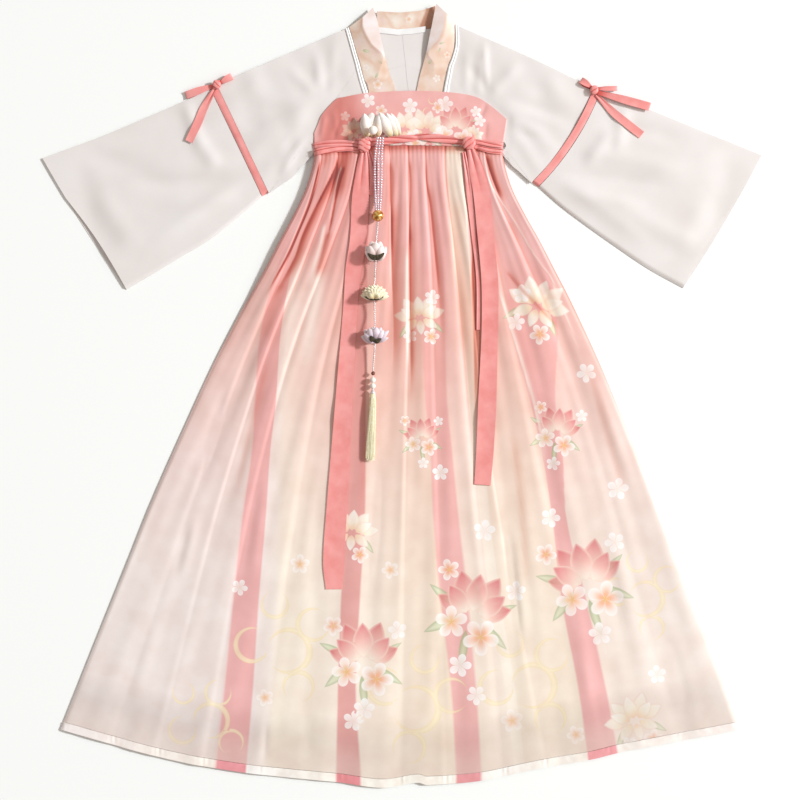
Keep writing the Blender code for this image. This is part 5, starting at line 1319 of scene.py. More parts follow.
x, y, u, v, top_y = band_grid(150, 48)
full = smooth((top_y - y) / BAND_EASE)
top = CLOTH_STEP * lift(outside_skirt(x, y) - CLEAR_REACH) + 3.0 * CLOTH_STEP - 0.3 + BAND_FULLNESS * full
BAND_CREASES = [
    Crease(147, 506, 132, 476, 4, -1.2), Crease(-120, 500, -108, 440, 6, 0.9),
    Crease(-96, 506, -92, 440, 6, -0.7), Crease(-60, 470, -58, 428, 5, 0.8),
    Crease(60, 470, 58, 428, 6, 0.7), Crease(130, 470, 136, 432, 5, 0.9),
    Crease(-132, 490, -140, 440, 5, 1.2), Crease(-84, 478, -96, 436, 4, 1),
    Crease(-106, 480, -120, 436, 4, -1), Crease(146, 476, 142, 436, 4, -1),
]
top += creased(x, y, BAND_CREASES) + 0.25 * np.sin(x / 5.0) * smooth(1.0 - (y - SEAM_Y) / 25.0)
edge = smooth((np.minimum(u, len(BAND) - 1.0 - u) + 0.05) / 0.35)
top = CLOTH_STEP + 0.8 + (top - CLOTH_STEP - 0.8) * edge
mesh = panel_mesh("band_front_cloth", x, y, top, 0.8, uv=np.stack([u / BAND_STEPS, v], -1))
BAND_SPRAYS = [
    Spray("peony", -84, 458, 118, 0.4), Spray("peony", 2, 462, 104, 0.62),
    Spray("peony", 42, 460, 76, 0.72), Spray("lotus", 92, 463, 90, 0.68),
    Spray("peony", 122, 450, 48, 0.36), Spray("scrolls", 62, 488, 20, 0.28),
]
BAND_BLOSSOMS = [
    Motif(-98, 482, 10, 9, WHITE), Motif(-58, 509, 40, 13, WHITE),
    Motif(-36, 492, 70, 11, PEACH), Motif(14, 500, 20, 14, WHITE),
    Motif(74, 503, 5, 15, WHITE), Motif(134, 474, 5, 11, WHITE), Motif(-22, 452, 5, 15, WHITE),
    Motif(22, 446, 5, 15, WHITE), Motif(66, 450, 35, 15, WHITE), Motif(108, 447, 15, 14, PEACH),
]
print_sprays(mesh, BAND_SPRAYS, BAND_BLOSSOMS)
# The same chiffon over a firm backing, so it lies smooth
band_chiffon, tree, cloud = cloth_material("printed_band_chiffon", 0.65, 0.15, 1.2, 0.15, 30.0)
cut = cut_place(tree)
fade = ramped(
    tree, cut["Y"],
    [(0.0, "#F3B9B4"), (0.5, "#F2B3AE"), (0.97, "#F0ABA6"), (1.0, "#E2918C")],
)
ground = printed(tree, fade, cloud)
# Painted shade over the left part of the band
painted_band_shade = ramped(
    tree, cut["X"],
    [(0.06, "#FFFFFF"), (0.16, "#EDCDC7"), (0.3, "#E3BAB3"), (0.37, "#ECCDC7"), (0.42, "#FFFFFF")],
)
speck = ramped(tree, cloud, [(0.3, "#F8F0EE"), (0.7, "#FFFFFF")])
ground = multiplied(tree, multiplied(tree, ground, painted_band_shade), speck)
dye(tree, ground)
band_front = show("band_front_cloth", mesh, band_chiffon, ["band_front"])
width, length, area = cut_size(x, y)
x, y, u, v, top_y = band_grid(48, 12)
cut_places = np.stack([u / BAND_STEPS, 0.3 * v], -1)
mesh = panel_mesh("band_back_cloth", x, y, np.full_like(x, 1.0), 1.0, uv=cut_places)
band_back = show("band_back_cloth", mesh, back_chiffon, ["band_back"])
width, length, area = cut_size(x, y)

# Ribbons: coral satin, 7 to 36 mm wide. A tie of folded ribbon goes round the chest band, is knotted twice
# and has two long ends that hang down the skirt.
RibbonPoint = namedtuple("RibbonPoint", "x y width")
TIES = {
    "tie_left_upper": [
        RibbonPoint(-153.7, 430.5, 10), RibbonPoint(-128, 434.5, 11),
        RibbonPoint(-100, 435.5, 10.5), RibbonPoint(-74, 433.5, 9),
    ],
    "tie_left_lower": [
        RibbonPoint(-152, 418.5, 11), RibbonPoint(-128, 423, 11),
        RibbonPoint(-100, 425.5, 9), RibbonPoint(-74, 424, 7),
    ],
    "tie_centre_left": [
        RibbonPoint(-55.5, 436, 12), RibbonPoint(-20, 440.5, 13), RibbonPoint(12, 443.5, 12),
        RibbonPoint(29, 445.5, 8),
    ],
    "tie_centre_right": [
        RibbonPoint(24, 447, 9), RibbonPoint(60, 444, 14), RibbonPoint(86, 440, 12),
        RibbonPoint(105.5, 436.5, 9),
    ],
    "tie_right_upper": [
        RibbonPoint(124.5, 438.5, 8), RibbonPoint(150, 434.5, 9.5), RibbonPoint(176, 432, 9),
    ],
    "tie_right_lower": [
        RibbonPoint(124.5, 430, 7), RibbonPoint(150, 423, 9), RibbonPoint(176, 419.5, 8),
    ],
}
HANGING_RIBBONS = {
    "ribbon_right_under": [
        RibbonPoint(106, 420, 7), RibbonPoint(113.5, 372.9, 11), RibbonPoint(122.5, 286.6, 8),
        RibbonPoint(131, 200.3, 6), RibbonPoint(131.5, 114, 6),
    ],
    "ribbon_left_short": [
        RibbonPoint(-57, 422, 8), RibbonPoint(-50.5, 400, 14), RibbonPoint(-48, 372, 15),
        RibbonPoint(-52, 345, 10),
    ],
    "ribbon_left": [
        RibbonPoint(-65, 426, 10), RibbonPoint(-68, 392, 21), RibbonPoint(-71.5, 340, 29),
        RibbonPoint(-75.1, 269.4, 29), RibbonPoint(-84, 215, 27), RibbonPoint(-87.9, 165.8, 24.5),
        RibbonPoint(-100.1, -6.9, 29), RibbonPoint(-111.4, -179.6, 35), RibbonPoint(-118, -284.9, 36),
        RibbonPoint(-117.5, -333, 28),
    ],
    "ribbon_right": [
        RibbonPoint(116, 430, 11), RibbonPoint(126, 396, 24), RibbonPoint(136.7, 350.9, 29),
        RibbonPoint(142.4, 286.6, 27), RibbonPoint(151, 200.3, 29), RibbonPoint(151, 114, 28),
        RibbonPoint(146.8, -6.9, 31), RibbonPoint(143, -93.2, 30), RibbonPoint(138.5, -153, 28),
    ],
}
RIBBON_CLOTH = 0.5
# Folds along a ribbon: how many lie side by side, how fast they turn round it (per mm), their height,
# and the length they take to open out (0 where they go on to the end)
Folds = namedtuple("Folds", "count turn height open_after")
HANGING_FOLDS = Folds(2, 0, 2, 95)
TIE_FOLDS = {
    "tie_left_upper": Folds(1.6, 0.004, 1.6, 0), "tie_left_lower": Folds(1.4, -0.004, 1.4, 0),
    "tie_centre_left": Folds(1.5, 0.02, 2.4, 0), "tie_centre_right": Folds(1.5, -0.017, 2.6, 0),
    "tie_right_upper": Folds(1.5, 0.01, 1.5, 0), "tie_right_lower": Folds(1.5, -0.01, 1.5, 0),
}


def surface_of(*things):
    """A tree for reading the height of finished pieces."""
    points = []
    faces = []
    for thing in things:
        first = len(points)
        points += [vertex.co.copy() for vertex in thing.data.vertices]
        faces += [[first + number for number in face.vertices] for face in thing.data.polygons]
    return BVHTree.FromPolygons(points, faces)


def height_at(surface, x, y):
    """Height in millimetres of a surface under a place in millimetres, 0 where there is none."""
    hit = surface.ray_cast(Vector((x * MM, y * MM, 0.5)), Vector((0.0, 0.0, -1.0)))[0]
    return 0.0 if hit is None else hit.z / MM


# Coral polyester satin: long floats give it a broad soft gloss, and its folds are painted a deeper red as shade
coral_satin, tree, cloud = cloth_material("coral_satin_ribbon", 0.42, 0.25, 0.8, 0.15, 22.0)
tint = ramped(tree, cloud, [(0.3, "#EE918C"), (0.5, "#F39C97"), (0.7, "#F7A6A1")])
fold = marked(tree, "fold")
painted_fold_shade = ramped(tree, fold, [(0.0, "#FFFFFF"), (0.45, "#E9AAA3"), (1.0, "#A8544E")])
dye(tree, multiplied(tree, tint, painted_fold_shade))


def ribbon_mesh(name, points, surface, folds=None, columns=12, step=4.0, curl=0.8, seed=0.0, tuck=0.0):
    """A strip of ribbon laid on a surface: its edges curl a little and it has soft waves along it.

    Where its ends are tucked under, it comes down to the surface over the tuck's length.
    """
    gaps = [math.hypot(b.x - a.x, b.y - a.y) for a, b in zip(points, points[1:])]
    at = np.concatenate([[0.0], np.cumsum(gaps)])
    rows = max(10, int(at[-1] / step))
    run = np.linspace(0.0, at[-1], rows + 1)
    x, y, width = (
        eased(list(zip(at, [getattr(point, field) for point in points])), run)
        for field in RibbonPoint._fields
    )
    tangent = np.stack([np.gradient(x), np.gradient(y)], -1)
    tangent /= np.linalg.norm(tangent, axis=1)[:, None]
    side = np.linspace(-0.5, 0.5, columns + 1)
    place_x = x[:, None] - tangent[:, 1:2] * width[:, None] * side
    place_y = y[:, None] + tangent[:, 0:1] * width[:, None] * side
    level = np.array([
        max(height_at(surface, a, b) for a, b in zip(row_x, row_y)) for row_x, row_y in zip(place_x, place_y)
    ])
    around = np.array([level[max(0, i - 5):i + 6].max() for i in range(rows + 1)])
    around = np.maximum(np.convolve(np.pad(around, 4, mode="edge"), np.ones(9) / 9.0, mode="valid"), level)
    wave = 0.5 + 0.5 * np.sin(run / 23.0 + seed) * np.cos(run / 61.0 + 2.0 * seed)
    bend = curl * (2.0 * np.abs(side)[None, :]) ** 2 * wave[:, None]
    shade = np.zeros_like(bend)
    if folds:
        turned = folds.count * side[None, :] + folds.turn * run[:, None]
        turned = turned + 0.06 * np.sin(run[:, None] / 17.0 + seed)
        ridge = np.abs(np.sin(math.pi * (turned + 0.5 * folds.count)))
        kept = smooth(1.0 - run[:, None] / folds.open_after) if folds.open_after else np.ones((rows + 1, 1))
        bend = bend + folds.height * ridge * kept
        # Painted shade in the valleys between the ribbon's folds
        shade = np.exp(-((ridge / 0.22) ** 2)) * kept
    if tuck:
        raised = smooth(np.minimum(run, at[-1] - run) / tuck)
        around = level + (around - level) * raised
        bend = bend * raised[:, None]
    top = around[:, None] + 0.4 + RIBBON_CLOTH + bend
    mesh = panel_mesh(name, place_x, place_y, top, RIBBON_CLOTH)
    mark(mesh, "fold", shade)
    return mesh, width.mean() * MM, at[-1] * MM


def round_mesh(name, grids):
    """Solid round forms, each a grid of rings of points, closed at both ends, as one mesh."""
    points = []
    faces = []
    first = 0
    for grid in grids:
        rows, columns = grid.shape[:2]
        number = np.arange(rows * columns).reshape(rows, columns) + first
        around = np.concatenate([number, number[:, :1]], axis=1)
        quads = np.stack([around[:-1, :-1], around[:-1, 1:], around[1:, 1:], around[1:, :-1]], -1)
        faces += quads.reshape(-1, 4).tolist() + [number[0][::-1].tolist(), number[-1].tolist()]
        points.append(grid.reshape(-1, 3))
        first += rows * columns
    return formed_mesh(name, np.concatenate(points), faces)


def knot(name, x, y, half_x, half_y, low, height, lean, wraps):
    """A knot of ribbon: a plump squared form with grooves where the turns of the ribbon meet."""
    up, turn = np.meshgrid(np.linspace(-1.5, 1.5, 21), np.arange(64) / 64.0 * 2.0 * math.pi, indexing="ij")
    away = np.stack([np.cos(up) * np.cos(turn), np.cos(up) * np.sin(turn), np.sin(up)], -1)
    power = 2.7
    away /= (np.abs(away) ** power).sum(-1, keepdims=True) ** (1.0 / power)
    tilt = math.radians(lean)
    strand = away[..., 0] * math.sin(tilt) + away[..., 1] * math.cos(tilt) + 0.12 * np.sin(3.0 * away[..., 0])
    groove = np.exp(-((np.sin(0.5 * math.pi * wraps * (strand + 1.0)) / 0.3) ** 2))
    size = 1.0 - 0.13 * groove
    grid = np.stack([
        x + half_x * away[..., 0] * size, y + half_y * away[..., 1] * size,
        low + 0.5 * height * (1.0 + away[..., 2] * size),
    ], -1)
    mesh = round_mesh(name, [grid])
    # Painted shade in the grooves between the turns of the ribbon
    layer = mesh.attributes.new("fold", "FLOAT", "POINT")
    layer.data.foreach_set("value", (0.7 * groove).ravel().astype(np.float32))
    return show(name, mesh, coral_satin)


skirt_surface = surface_of(skirt_front, band_front)
ribbons = {}
for number, (name, points) in enumerate(TIES.items()):
    mesh = ribbon_mesh(
        name + "_cloth", points, skirt_surface, TIE_FOLDS[name],
        columns=20, step=1.6, curl=0.3, seed=number, tuck=14.0,
    )[0]
    ribbons[name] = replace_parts(show(name + "_cloth", mesh, coral_satin), name)
for number, (name, points) in enumerate(HANGING_RIBBONS.items()):
    mesh, width, length = ribbon_mesh(
        name + "_cloth", points, skirt_surface, HANGING_FOLDS, seed=1.7 * number,
    )
    ribbons[name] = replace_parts(show(name + "_cloth", mesh, coral_satin), name)
tie_knot_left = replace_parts(
    knot("tie_knot_left_wrap", -65.0, 431.0, 11.0, 12.0, 9.4, 9.0, 20.0, 3.0), "tie_knot_left",
)
tie_knot_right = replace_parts(
    knot("tie_knot_right_wrap", 115.0, 435.0, 11.5, 11.0, 9.4, 9.5, -50.0, 3.0), "tie_knot_right",
)

# Sleeve ribbons: one rings each sleeve over the seam between upper and lower sleeve, and is tied in a
# small bow on top, with loops of ribbon and one loose end
SLEEVE_RIBBONS = {
    "sleeve_ribbon_left": [
        SleeveStation(-320, 537.6, -229.6, 349.4, 0), SleeveStation(-331.2, 532.6, -240.3, 343, 0),
    ],
    "sleeve_ribbon_right": [
        SleeveStation(330.6, 530.8, 223.2, 367.3, 10.4), SleeveStation(342, 525.6, 233.6, 359.5, 10.4),
    ],
}
BowLoop = namedtuple("BowLoop", "root_x root_y tip_x tip_y width")
BOW_LOOPS = {
    "bow_left_loop_1": BowLoop(-314, 540, -293, 551, 12),
    "bow_left_loop_2": BowLoop(-322, 535, -373, 518.5, 13),
    "bow_right_loop_1": BowLoop(326, 531, 308, 544.5, 11),
    "bow_right_loop_2": BowLoop(336, 530, 371, 530.5, 8),
    "bow_right_loop_3": BowLoop(336, 523.5, 427, 498, 14),
}
BOW_TAILS = {
    "bow_left_tail": [
        RibbonPoint(-322, 531, 7), RibbonPoint(-341, 497, 13), RibbonPoint(-352, 470, 14),
        RibbonPoint(-367, 438, 13),
    ],
    "bow_right_tail": [
        RibbonPoint(335, 519, 7), RibbonPoint(364, 489, 13), RibbonPoint(387, 470, 14),
        RibbonPoint(413, 450, 14),
    ],
}
LOOP_HEIGHT = 5.0
SHORT_FOLDS = Folds(1.5, 0, 1.4, 45)
for name, stations in SLEEVE_RIBBONS.items():
    outer, inner = tube_grids(
        stations, SLEEVE_HEIGHT + 1.0, RIBBON_CLOTH, 1.5, 5, TUBE_AROUND, SLEEVE_CREASES,
    )
    mesh = cloth_mesh(name + "_cloth", outer, inner, closed=True)
    mark(mesh, "fold", np.zeros(outer.shape[:2]))
    ribbons[name] = show(name + "_cloth", mesh, coral_satin, [name])
    half = outer[:, :TUBE_AROUND // 2]
    area = cut_size(half[..., 0], half[..., 1])[2]
sleeve_surface = surface_of(
    robe["robe_front_left"], robe["robe_front_right"], robe["sleeve_left"], robe["sleeve_right"],
    ribbons["sleeve_ribbon_left"], ribbons["sleeve_ribbon_right"],
)
for name, points in BOW_TAILS.items():
    mesh = ribbon_mesh(name + "_cloth", points, sleeve_surface, SHORT_FOLDS, step=2.5, seed=2.0)[0]
    ribbons[name] = show(name + "_cloth", mesh, coral_satin, [name])
for name, loop in BOW_LOOPS.items():
    run, side = np.meshgrid(np.linspace(0.0, 2.0 * math.pi, 49), np.linspace(-0.5, 0.5, 11), indexing="ij")
    length = math.hypot(loop.tip_x - loop.root_x, loop.tip_y - loop.root_y)
    toward_x = (loop.tip_x - loop.root_x) / length
    toward_y = (loop.tip_y - loop.root_y) / length
    low = max(
        height_at(sleeve_surface, loop.root_x + share * (loop.tip_x - loop.root_x),
                  loop.root_y + share * (loop.tip_y - loop.root_y))
        for share in np.linspace(0.0, 1.0, 9)
    ) + 0.4
    out = 0.5 - 0.5 * np.cos(run)
    width = loop.width * (0.5 + 0.5 * smooth(out * 1.5))
    grids = []
    for wall in (0.0, RIBBON_CLOTH):
        along = (length - wall) * out
        aside = side * width + 1.2 * np.sin(run) * (1.0 - out)
        up = low + 0.5 * LOOP_HEIGHT - (0.5 * LOOP_HEIGHT - wall) * np.sin(run)
        up = up + 0.8 * (2.0 * side) ** 2 * out
        grids.append(np.stack([
            loop.root_x + toward_x * along - toward_y * aside,
            loop.root_y + toward_y * along + toward_x * aside, up,
        ], -1))
    mesh = cloth_mesh(name + "_cloth", grids[0], grids[1])
    # Painted shade near the loop's root and on its lower layer, under the upper one
    mark(mesh, "fold", 0.6 * (1.0 - smooth(out / 0.3)) + 0.5 * (run < math.pi))
    ribbons[name] = show(name + "_cloth", mesh, coral_satin, [name])
bow_left_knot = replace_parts(
    knot("bow_left_wrap", -319.0, 536.5, 7.0, 8.0, 4.0, 8.0, 30.0, 2.0), "bow_left_knot",
)
bow_right_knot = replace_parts(
    knot("bow_right_wrap", 331.0, 527.0, 7.0, 8.0, 4.0, 8.0, -40.0, 2.0), "bow_right_knot",
)

# Ornament: a white cloth flower at the tie, with a pearl at its heart. Its petals are stiffened satin cut
# singly, curved and glued at their base.
Petal = namedtuple("Petal", "x y turn length width low lift bulge cup")
TOP_PETALS = [
    Petal(-4, 449, -22, 40, 13, 8.5, 4, 5, 2), Petal(-9, 447, -24, 43, 15, 10, 4, 6, 3),
    Petal(-52, 446, 0, 41, 30, 9, 3, 8, 4), Petal(-19, 446, -26, 45, 19, 13, 5, 8, 5),
    Petal(-60, 446, -7, 39, 19, 13, 4, 8, 5), Petal(-42, 446, 5, 39, 18, 13, 4, 8, 5),
]
LOTUS_PETALS = [
    Petal(-45, 236, -40, 27, 22, 15, 3, 5, 3), Petal(-45, 236, 42, 27, 22, 15, 3, 5, 3),
    Petal(-45, 236, -14, 30, 26, 17, 4, 8, 4), Petal(-45, 236, 16, 30, 25, 18, 4, 8, 4),
    Petal(-45, 236, -58, 22, 17, 20, 2, 7, 4), Petal(-45, 236, 58, 22, 17, 20, 2, 7, 4),
    Petal(-45, 236, 0, 27, 28, 23, 3, 9, 6), Petal(-45, 237, 30, 23, 16, 25, 2, 8, 4),
    Petal(-45, 237, -30, 23, 16, 25, 2, 8, 4),
]
CREAM_PETALS = [
    Petal(-47, 167, turn, length, 10, 14.0 + row * 5, 3, 5, 2.5)
    for row, turns, length in (
        (0, (-76, -58, -40, -22, -5, 12, 30, 48, 66, 80), 25),
        (1, (-68, -50, -31, -13, 5, 23, 42, 60, 74), 23),
        (2, (-60, -40, -20, 0, 20, 40, 60), 18), (3, (-45, -22, 2, 24, 46), 13),
    )
    for turn in turns
]
LILAC_PETALS = [
    Petal(-47, 93, -68, 25, 13, 14, 4, 5, 3), Petal(-47, 93, -40, 27, 15, 15, 4, 6, 3),
    Petal(-47, 93, -8, 26, 17, 15, 4, 7, 3), Petal(-47, 93, 25, 27, 15, 15, 4, 7, 3),
    Petal(-47, 93, 52, 31, 11, 15, 4, 6, 3), Petal(-47, 93, 74, 25, 9, 14, 4, 5, 3),
    Petal(-47, 94, -26, 24, 15, 22, 3, 8, 4), Petal(-47, 94, 8, 24, 16, 23, 3, 8, 4),
    Petal(-47, 94, 40, 24, 12, 22, 3, 7, 3), Petal(-47, 94, -54, 22, 12, 21, 3, 7, 3),
]


def petal_walls(petals, pointed):
    """Upper and lower grids of curved petals, each from its base to its tip."""
    along, side = np.meshgrid(np.linspace(0.0, 1.0, 15), np.linspace(-1.0, 1.0, 9), indexing="ij")
    uppers = []
    lowers = []
    places = []
    for petal in petals:
        turn = math.radians(petal.turn)
        full = np.clip(np.sin(math.pi * (0.06 + 0.935 * along) ** pointed), 0.01, 1.0) ** 0.7
        aside = 0.5 * petal.width * full * side
        out = petal.length * along
        arch = petal.low + petal.lift * along + petal.bulge * np.sin(math.pi * 0.9 * along)
        upper = np.stack([
            petal.x + out * math.sin(turn) + aside * math.cos(turn),
            petal.y + out * math.cos(turn) - aside * math.sin(turn),
            arch - petal.cup * side ** 2 * full,
        ], -1)
        uppers.append(upper)
        lowers.append(upper - np.array([0.0, 0.0, 0.5]))
        places.append(np.stack([0.5 + 0.5 * side, along], -1))
    return uppers, lowers, places


def petal_material(name, stops, rim):
    """Stiffened satin, coloured from its base to its tip and paler along its rim."""
    material, tree, cloud = cloth_material(name, 0.5, 0.15, 0.7, 0.12, 9.0)
    cut = cut_place(tree)
    dyed = ramped(tree, cut["Y"], stops)
    aside = calc(tree, "ABSOLUTE", calc(tree, "SUBTRACT", cut["X"], 0.5))
    edge = ranged(tree, aside, 0.38, 0.48)
    pale = mixed(tree, edge, dyed, paint(rim))
    speck = ramped(tree, cloud, [(0.3, "#F0E6E0"), (0.7, "#FFFFFF")])
    dye(tree, multiplied(tree, pale, speck))
    return material


def ball(x, y, z, radius):
    up, turn = np.meshgrid(np.linspace(-1.5, 1.5, 19), np.arange(32) / 32.0 * 2.0 * math.pi, indexing="ij")
    return np.stack([
        x + radius * np.cos(up) * np.cos(turn), y + radius * np.cos(up) * np.sin(turn),
        z + radius * np.sin(up),
    ], -1)


# The white petals go from gold-brown at their base, round the pearl, to white at their tips
white_petal = petal_material(
    "white_satin_petals", [(0.0, "#C3A871"), (0.12, "#E3D2AC"), (0.3, "#F6E9DC"), (0.7, "#FFFAF6")],
    "#FFFDFA",
)
uppers, lowers, places = petal_walls(TOP_PETALS, 1.0)
mesh = cloth_mesh("pendant_flower_top_petals", uppers, lowers, uv=places)
show("pendant_flower_top_petals", mesh, white_petal, ["pendant_flower_top"])
# Glass pearl with a nacre coat: a soft wide gloss under a clear one
pearl_coat, tree, where = plain_material("nacre_glass_pearl", 0.22)
layers = add(tree, "ShaderNodeTexNoise", {"Vector": where, "Scale": 300.0, "Detail": 2.0})
dye(tree, ramped(tree, layers.outputs["Fac"], [(0.3, "#F3E6D6"), (0.7, "#FBF5EE")]))
shader_inputs(tree)["Coat Weight"].default_value = 0.5
shader_inputs(tree)["Sheen Weight"].default_value = 0.3
show(
    "pendant_pearl_ball", round_mesh("pendant_pearl_ball", [ball(-49.8, 454.5, 29.0, 7.8)]), pearl_coat,
    ["pendant_pearl"],
)

# Pendant: three strings of small crystal beads from the flower to a gold filigree bead, then one thread
# with three cloth lotuses, beads, a silver cap and a silk tassel
BEAD_STRINGS = {
    "pendant_string_left": [
        (-42, 442, 20.4), (-46.5, 410, 15.5), (-47, 375, 14.2), (-46, 345, 15), (-44.9, 319.2, 20.2),
    ],
    "pendant_string_middle": [
        (-37.5, 442, 20.4), (-40.8, 410, 15.5), (-41.3, 375, 14.2), (-41.4, 345, 15), (-41.4, 319.4, 20.4),
    ],
    "pendant_string_right": [
        (-33, 442, 20.4), (-35.2, 410, 15.5), (-35.6, 375, 14.2), (-36.6, 345, 15), (-37.9, 319.2, 20.2),
    ],
}
STRING_DIAMETER = 4.6
CORD_LINE = [
    (-41.4, 298.5, 21), (-42.4, 284, 20.5), (-44, 266, 23.5), (-44.9, 250, 24.5), (-45, 233, 20.5),
    (-46.3, 212, 19), (-47, 195.5, 22.5), (-47.3, 180, 24.5), (-47.5, 164.5, 20.5), (-47, 142, 19),
    (-46.8, 118.8, 22.5), (-46.6, 104, 24.5), (-46.6, 89.8, 20.5), (-48.6, 60, 17.6), (-49.6, 38.8, 16.5),
    (-49.9, 24, 16.4), (-50.1, 11.6, 16.4),
]
CORD_DIAMETER = 1.2
CORD_POINTS = 181
THREAD_SIDES = 8


def eased_line(points, count):
    """Points along a smooth line through the given ones."""
    at = np.concatenate([[0.0], np.cumsum([math.dist(a, b) for a, b in zip(points, points[1:])])])
    run = np.linspace(0.0, at[-1], count)
    return np.stack([eased(list(zip(at, [point[axis] for point in points])), run) for axis in range(3)], -1)


def bead_group():
    """Beads of one size strung along a line: their spacing and radius are the inputs."""
    group = bpy.data.node_groups.new("beads along a line", "GeometryNodeTree")
    group.interface.new_socket("Geometry", in_out="INPUT", socket_type="NodeSocketGeometry")
    for name, kind in (("Spacing", "Float"), ("Bead Radius", "Float"), ("Finish", "Material")):
        group.interface.new_socket(name, in_out="INPUT", socket_type="NodeSocket" + kind)
    group.interface.new_socket("Geometry", in_out="OUTPUT", socket_type="NodeSocketGeometry")
    inputs = add(group, "NodeGroupInput").outputs
    line = add(group, "GeometryNodeMeshToCurve", {0: inputs["Geometry"]})
    lengths = {"Curve": line.outputs[0], "Length": inputs["Spacing"]}
    spaced = add(group, "GeometryNodeResampleCurve", lengths, mode="LENGTH")
    bead = add(group, "GeometryNodeMeshIcoSphere", {"Radius": inputs["Bead Radius"], "Subdivisions": 2})
    strung_beads = {"Points": spaced.outputs[0], "Instance": bead.outputs["Mesh"]}
    placed = add(group, "GeometryNodeInstanceOnPoints", strung_beads)
    real = add(group, "GeometryNodeRealizeInstances", {"Geometry": placed.outputs[0]})
    done = add(group, "GeometryNodeSetMaterial", {"Geometry": real.outputs[0], "Material": inputs["Finish"]})
    add(group, "NodeGroupOutput", {0: done.outputs[0]})
    return group


def strung(name, lines, spacing, radius, material, group):
    """Beads along each line, as one plain mesh."""
    points = np.concatenate(lines)
    ends = np.cumsum([len(line) for line in lines])
    edges = [(number, number + 1) for number in range(len(points) - 1) if number + 1 not in ends]
    base = bpy.data.meshes.new(name + "_line")
    base.from_pydata((points * MM).tolist(), edges, [])
    holder = bpy.data.objects.new(name + "_line", base)
    bpy.context.scene.collection.objects.link(holder)
    modifier = holder.modifiers.new("beads", "NODES")
    modifier.node_group = group
    values = {"Spacing": spacing * MM, "Bead Radius": radius * MM, "Finish": material}
    for socket in group.interface.items_tree:
        if socket.in_out == "INPUT" and socket.name in values:
            modifier[socket.identifier] = values[socket.name]
    result = holder.evaluated_get(bpy.context.evaluated_depsgraph_get())
    mesh = bpy.data.meshes.new_from_object(result)
    mesh.name = name
    bpy.data.objects.remove(holder)
    mesh.shade_smooth()
    return mesh


# Faceted glass beads with a silver foil: clear, bright and a little pink; a glint is painted white in the middle of
# each facet, going pinker toward its edges
crystal, tree, where = plain_material("foiled_crystal_bead", 0.18, 0.25)
painted_facet_glints = add(tree, "ShaderNodeTexVoronoi", {"Vector": where, "Scale": 650.0})
dye(tree, ramped(tree, painted_facet_glints.outputs["Distance"], [(0.05, "#FFFFFF"), (0.35, "#FBF1F4"), (0.65, "#CFA9B4")]))
# Silver-plated thread and beads: bright, with darker tarnish in the hollows
silver, tree, where = plain_material("silver_plated_thread", 0.3, 0.5)
tarnish = add(tree, "ShaderNodeTexNoise", {"Vector": where, "Scale": 400.0})
dye(tree, ramped(tree, tarnish.outputs["Fac"], [(0.35, "#CFC4C4"), (0.65, "#FBF6F4")]))
bead_nodes = bead_group()
for name, points in BEAD_STRINGS.items():
    line = eased_line(points, 61)
    mesh = strung(name + "_beads", [line], 4.4, 0.5 * STRING_DIAMETER, crystal, bead_nodes)
    mesh.materials.clear()
    string = show(name + "_beads", mesh, crystal, [name])

line = eased_line(CORD_LINE, CORD_POINTS)
thread_turn = np.arange(THREAD_SIDES) / THREAD_SIDES * 2.0 * math.pi
thread = np.stack([
    line[:, None, 0] + 0.5 * CORD_DIAMETER * np.cos(thread_turn)[None, :],
    np.broadcast_to(line[:, None, 1], (CORD_POINTS, THREAD_SIDES)),
    line[:, None, 2] + 0.5 * CORD_DIAMETER * np.sin(thread_turn)[None, :],
], -1)
cord = show(
    "pendant_cord_thread", round_mesh("pendant_cord_thread", [thread]), silver,
    ["pendant_cord"],
)
open_spans = [(268.0, 297.0), (197.0, 232.0), (121.0, 163.5), (43.0, 88.5)]
mesh = strung(
    "pendant_strand_beads", [line[(line[:, 1] > low) & (line[:, 1] < high)] for low, high in open_spans],
    3.6, 1.7, silver, bead_nodes,
)
mesh.materials.clear()
strand_beads = show("pendant_strand_beads", mesh, silver)

for name, petals, pointed, slot, stops, rim in (
    (
        "pendant_lotus", LOTUS_PETALS, 0.62, "petal_pink",
        [(0.0, "#E9CFCB"), (0.4, "#F3DEDB"), (1.0, "#FBEFEC")], "#FFFBF8",
    ),
    (
        "pendant_cream_flower", CREAM_PETALS, 1.0, "petal_cream",
        [(0.0, "#D9CB93"), (0.4, "#F0E6B9"), (1.0, "#FBF6DA")], "#FBF7E2",
    ),
    (
        "pendant_lilac_flower", LILAC_PETALS, 1.0, "petal_lilac",
        [(0.0, "#C9B3C4"), (0.5, "#DFCFDD"), (1.0, "#EFE5EC")], "#F6EFF3",
    ),
):
    uppers, lowers, places = petal_walls(petals, pointed)
    mesh = cloth_mesh(name + "_petals", uppers, lowers, uv=places)
    show(name + "_petals", mesh, petal_material(name + "_satin", stops, rim), [name])
CAP_LEAVES = [
    Petal(-44.5, 233.5, -55, 18, 9, 29, 1, 3, 2), Petal(-45.5, 233.5, 55, 19, 9, 29, 1, 3, 2),
    Petal(-45, 233.5, -30, 9, 9, 29, 1, 3, 2), Petal(-45, 233.5, 30, 9, 9, 29, 1, 3, 2),
    Petal(-47, 165, -74, 18, 6, 24, 1, 3, 2), Petal(-48, 165, 74, 17, 6, 24, 1, 3, 2),
    Petal(-50, 93, -20, 11, 9, 29, 1, 3, 2), Petal(-46, 91, 55, 13, 8, 29, 1, 2, 2),
    Petal(-50, 97, 120, 13, 8, 29, 1, 2, 2),
]
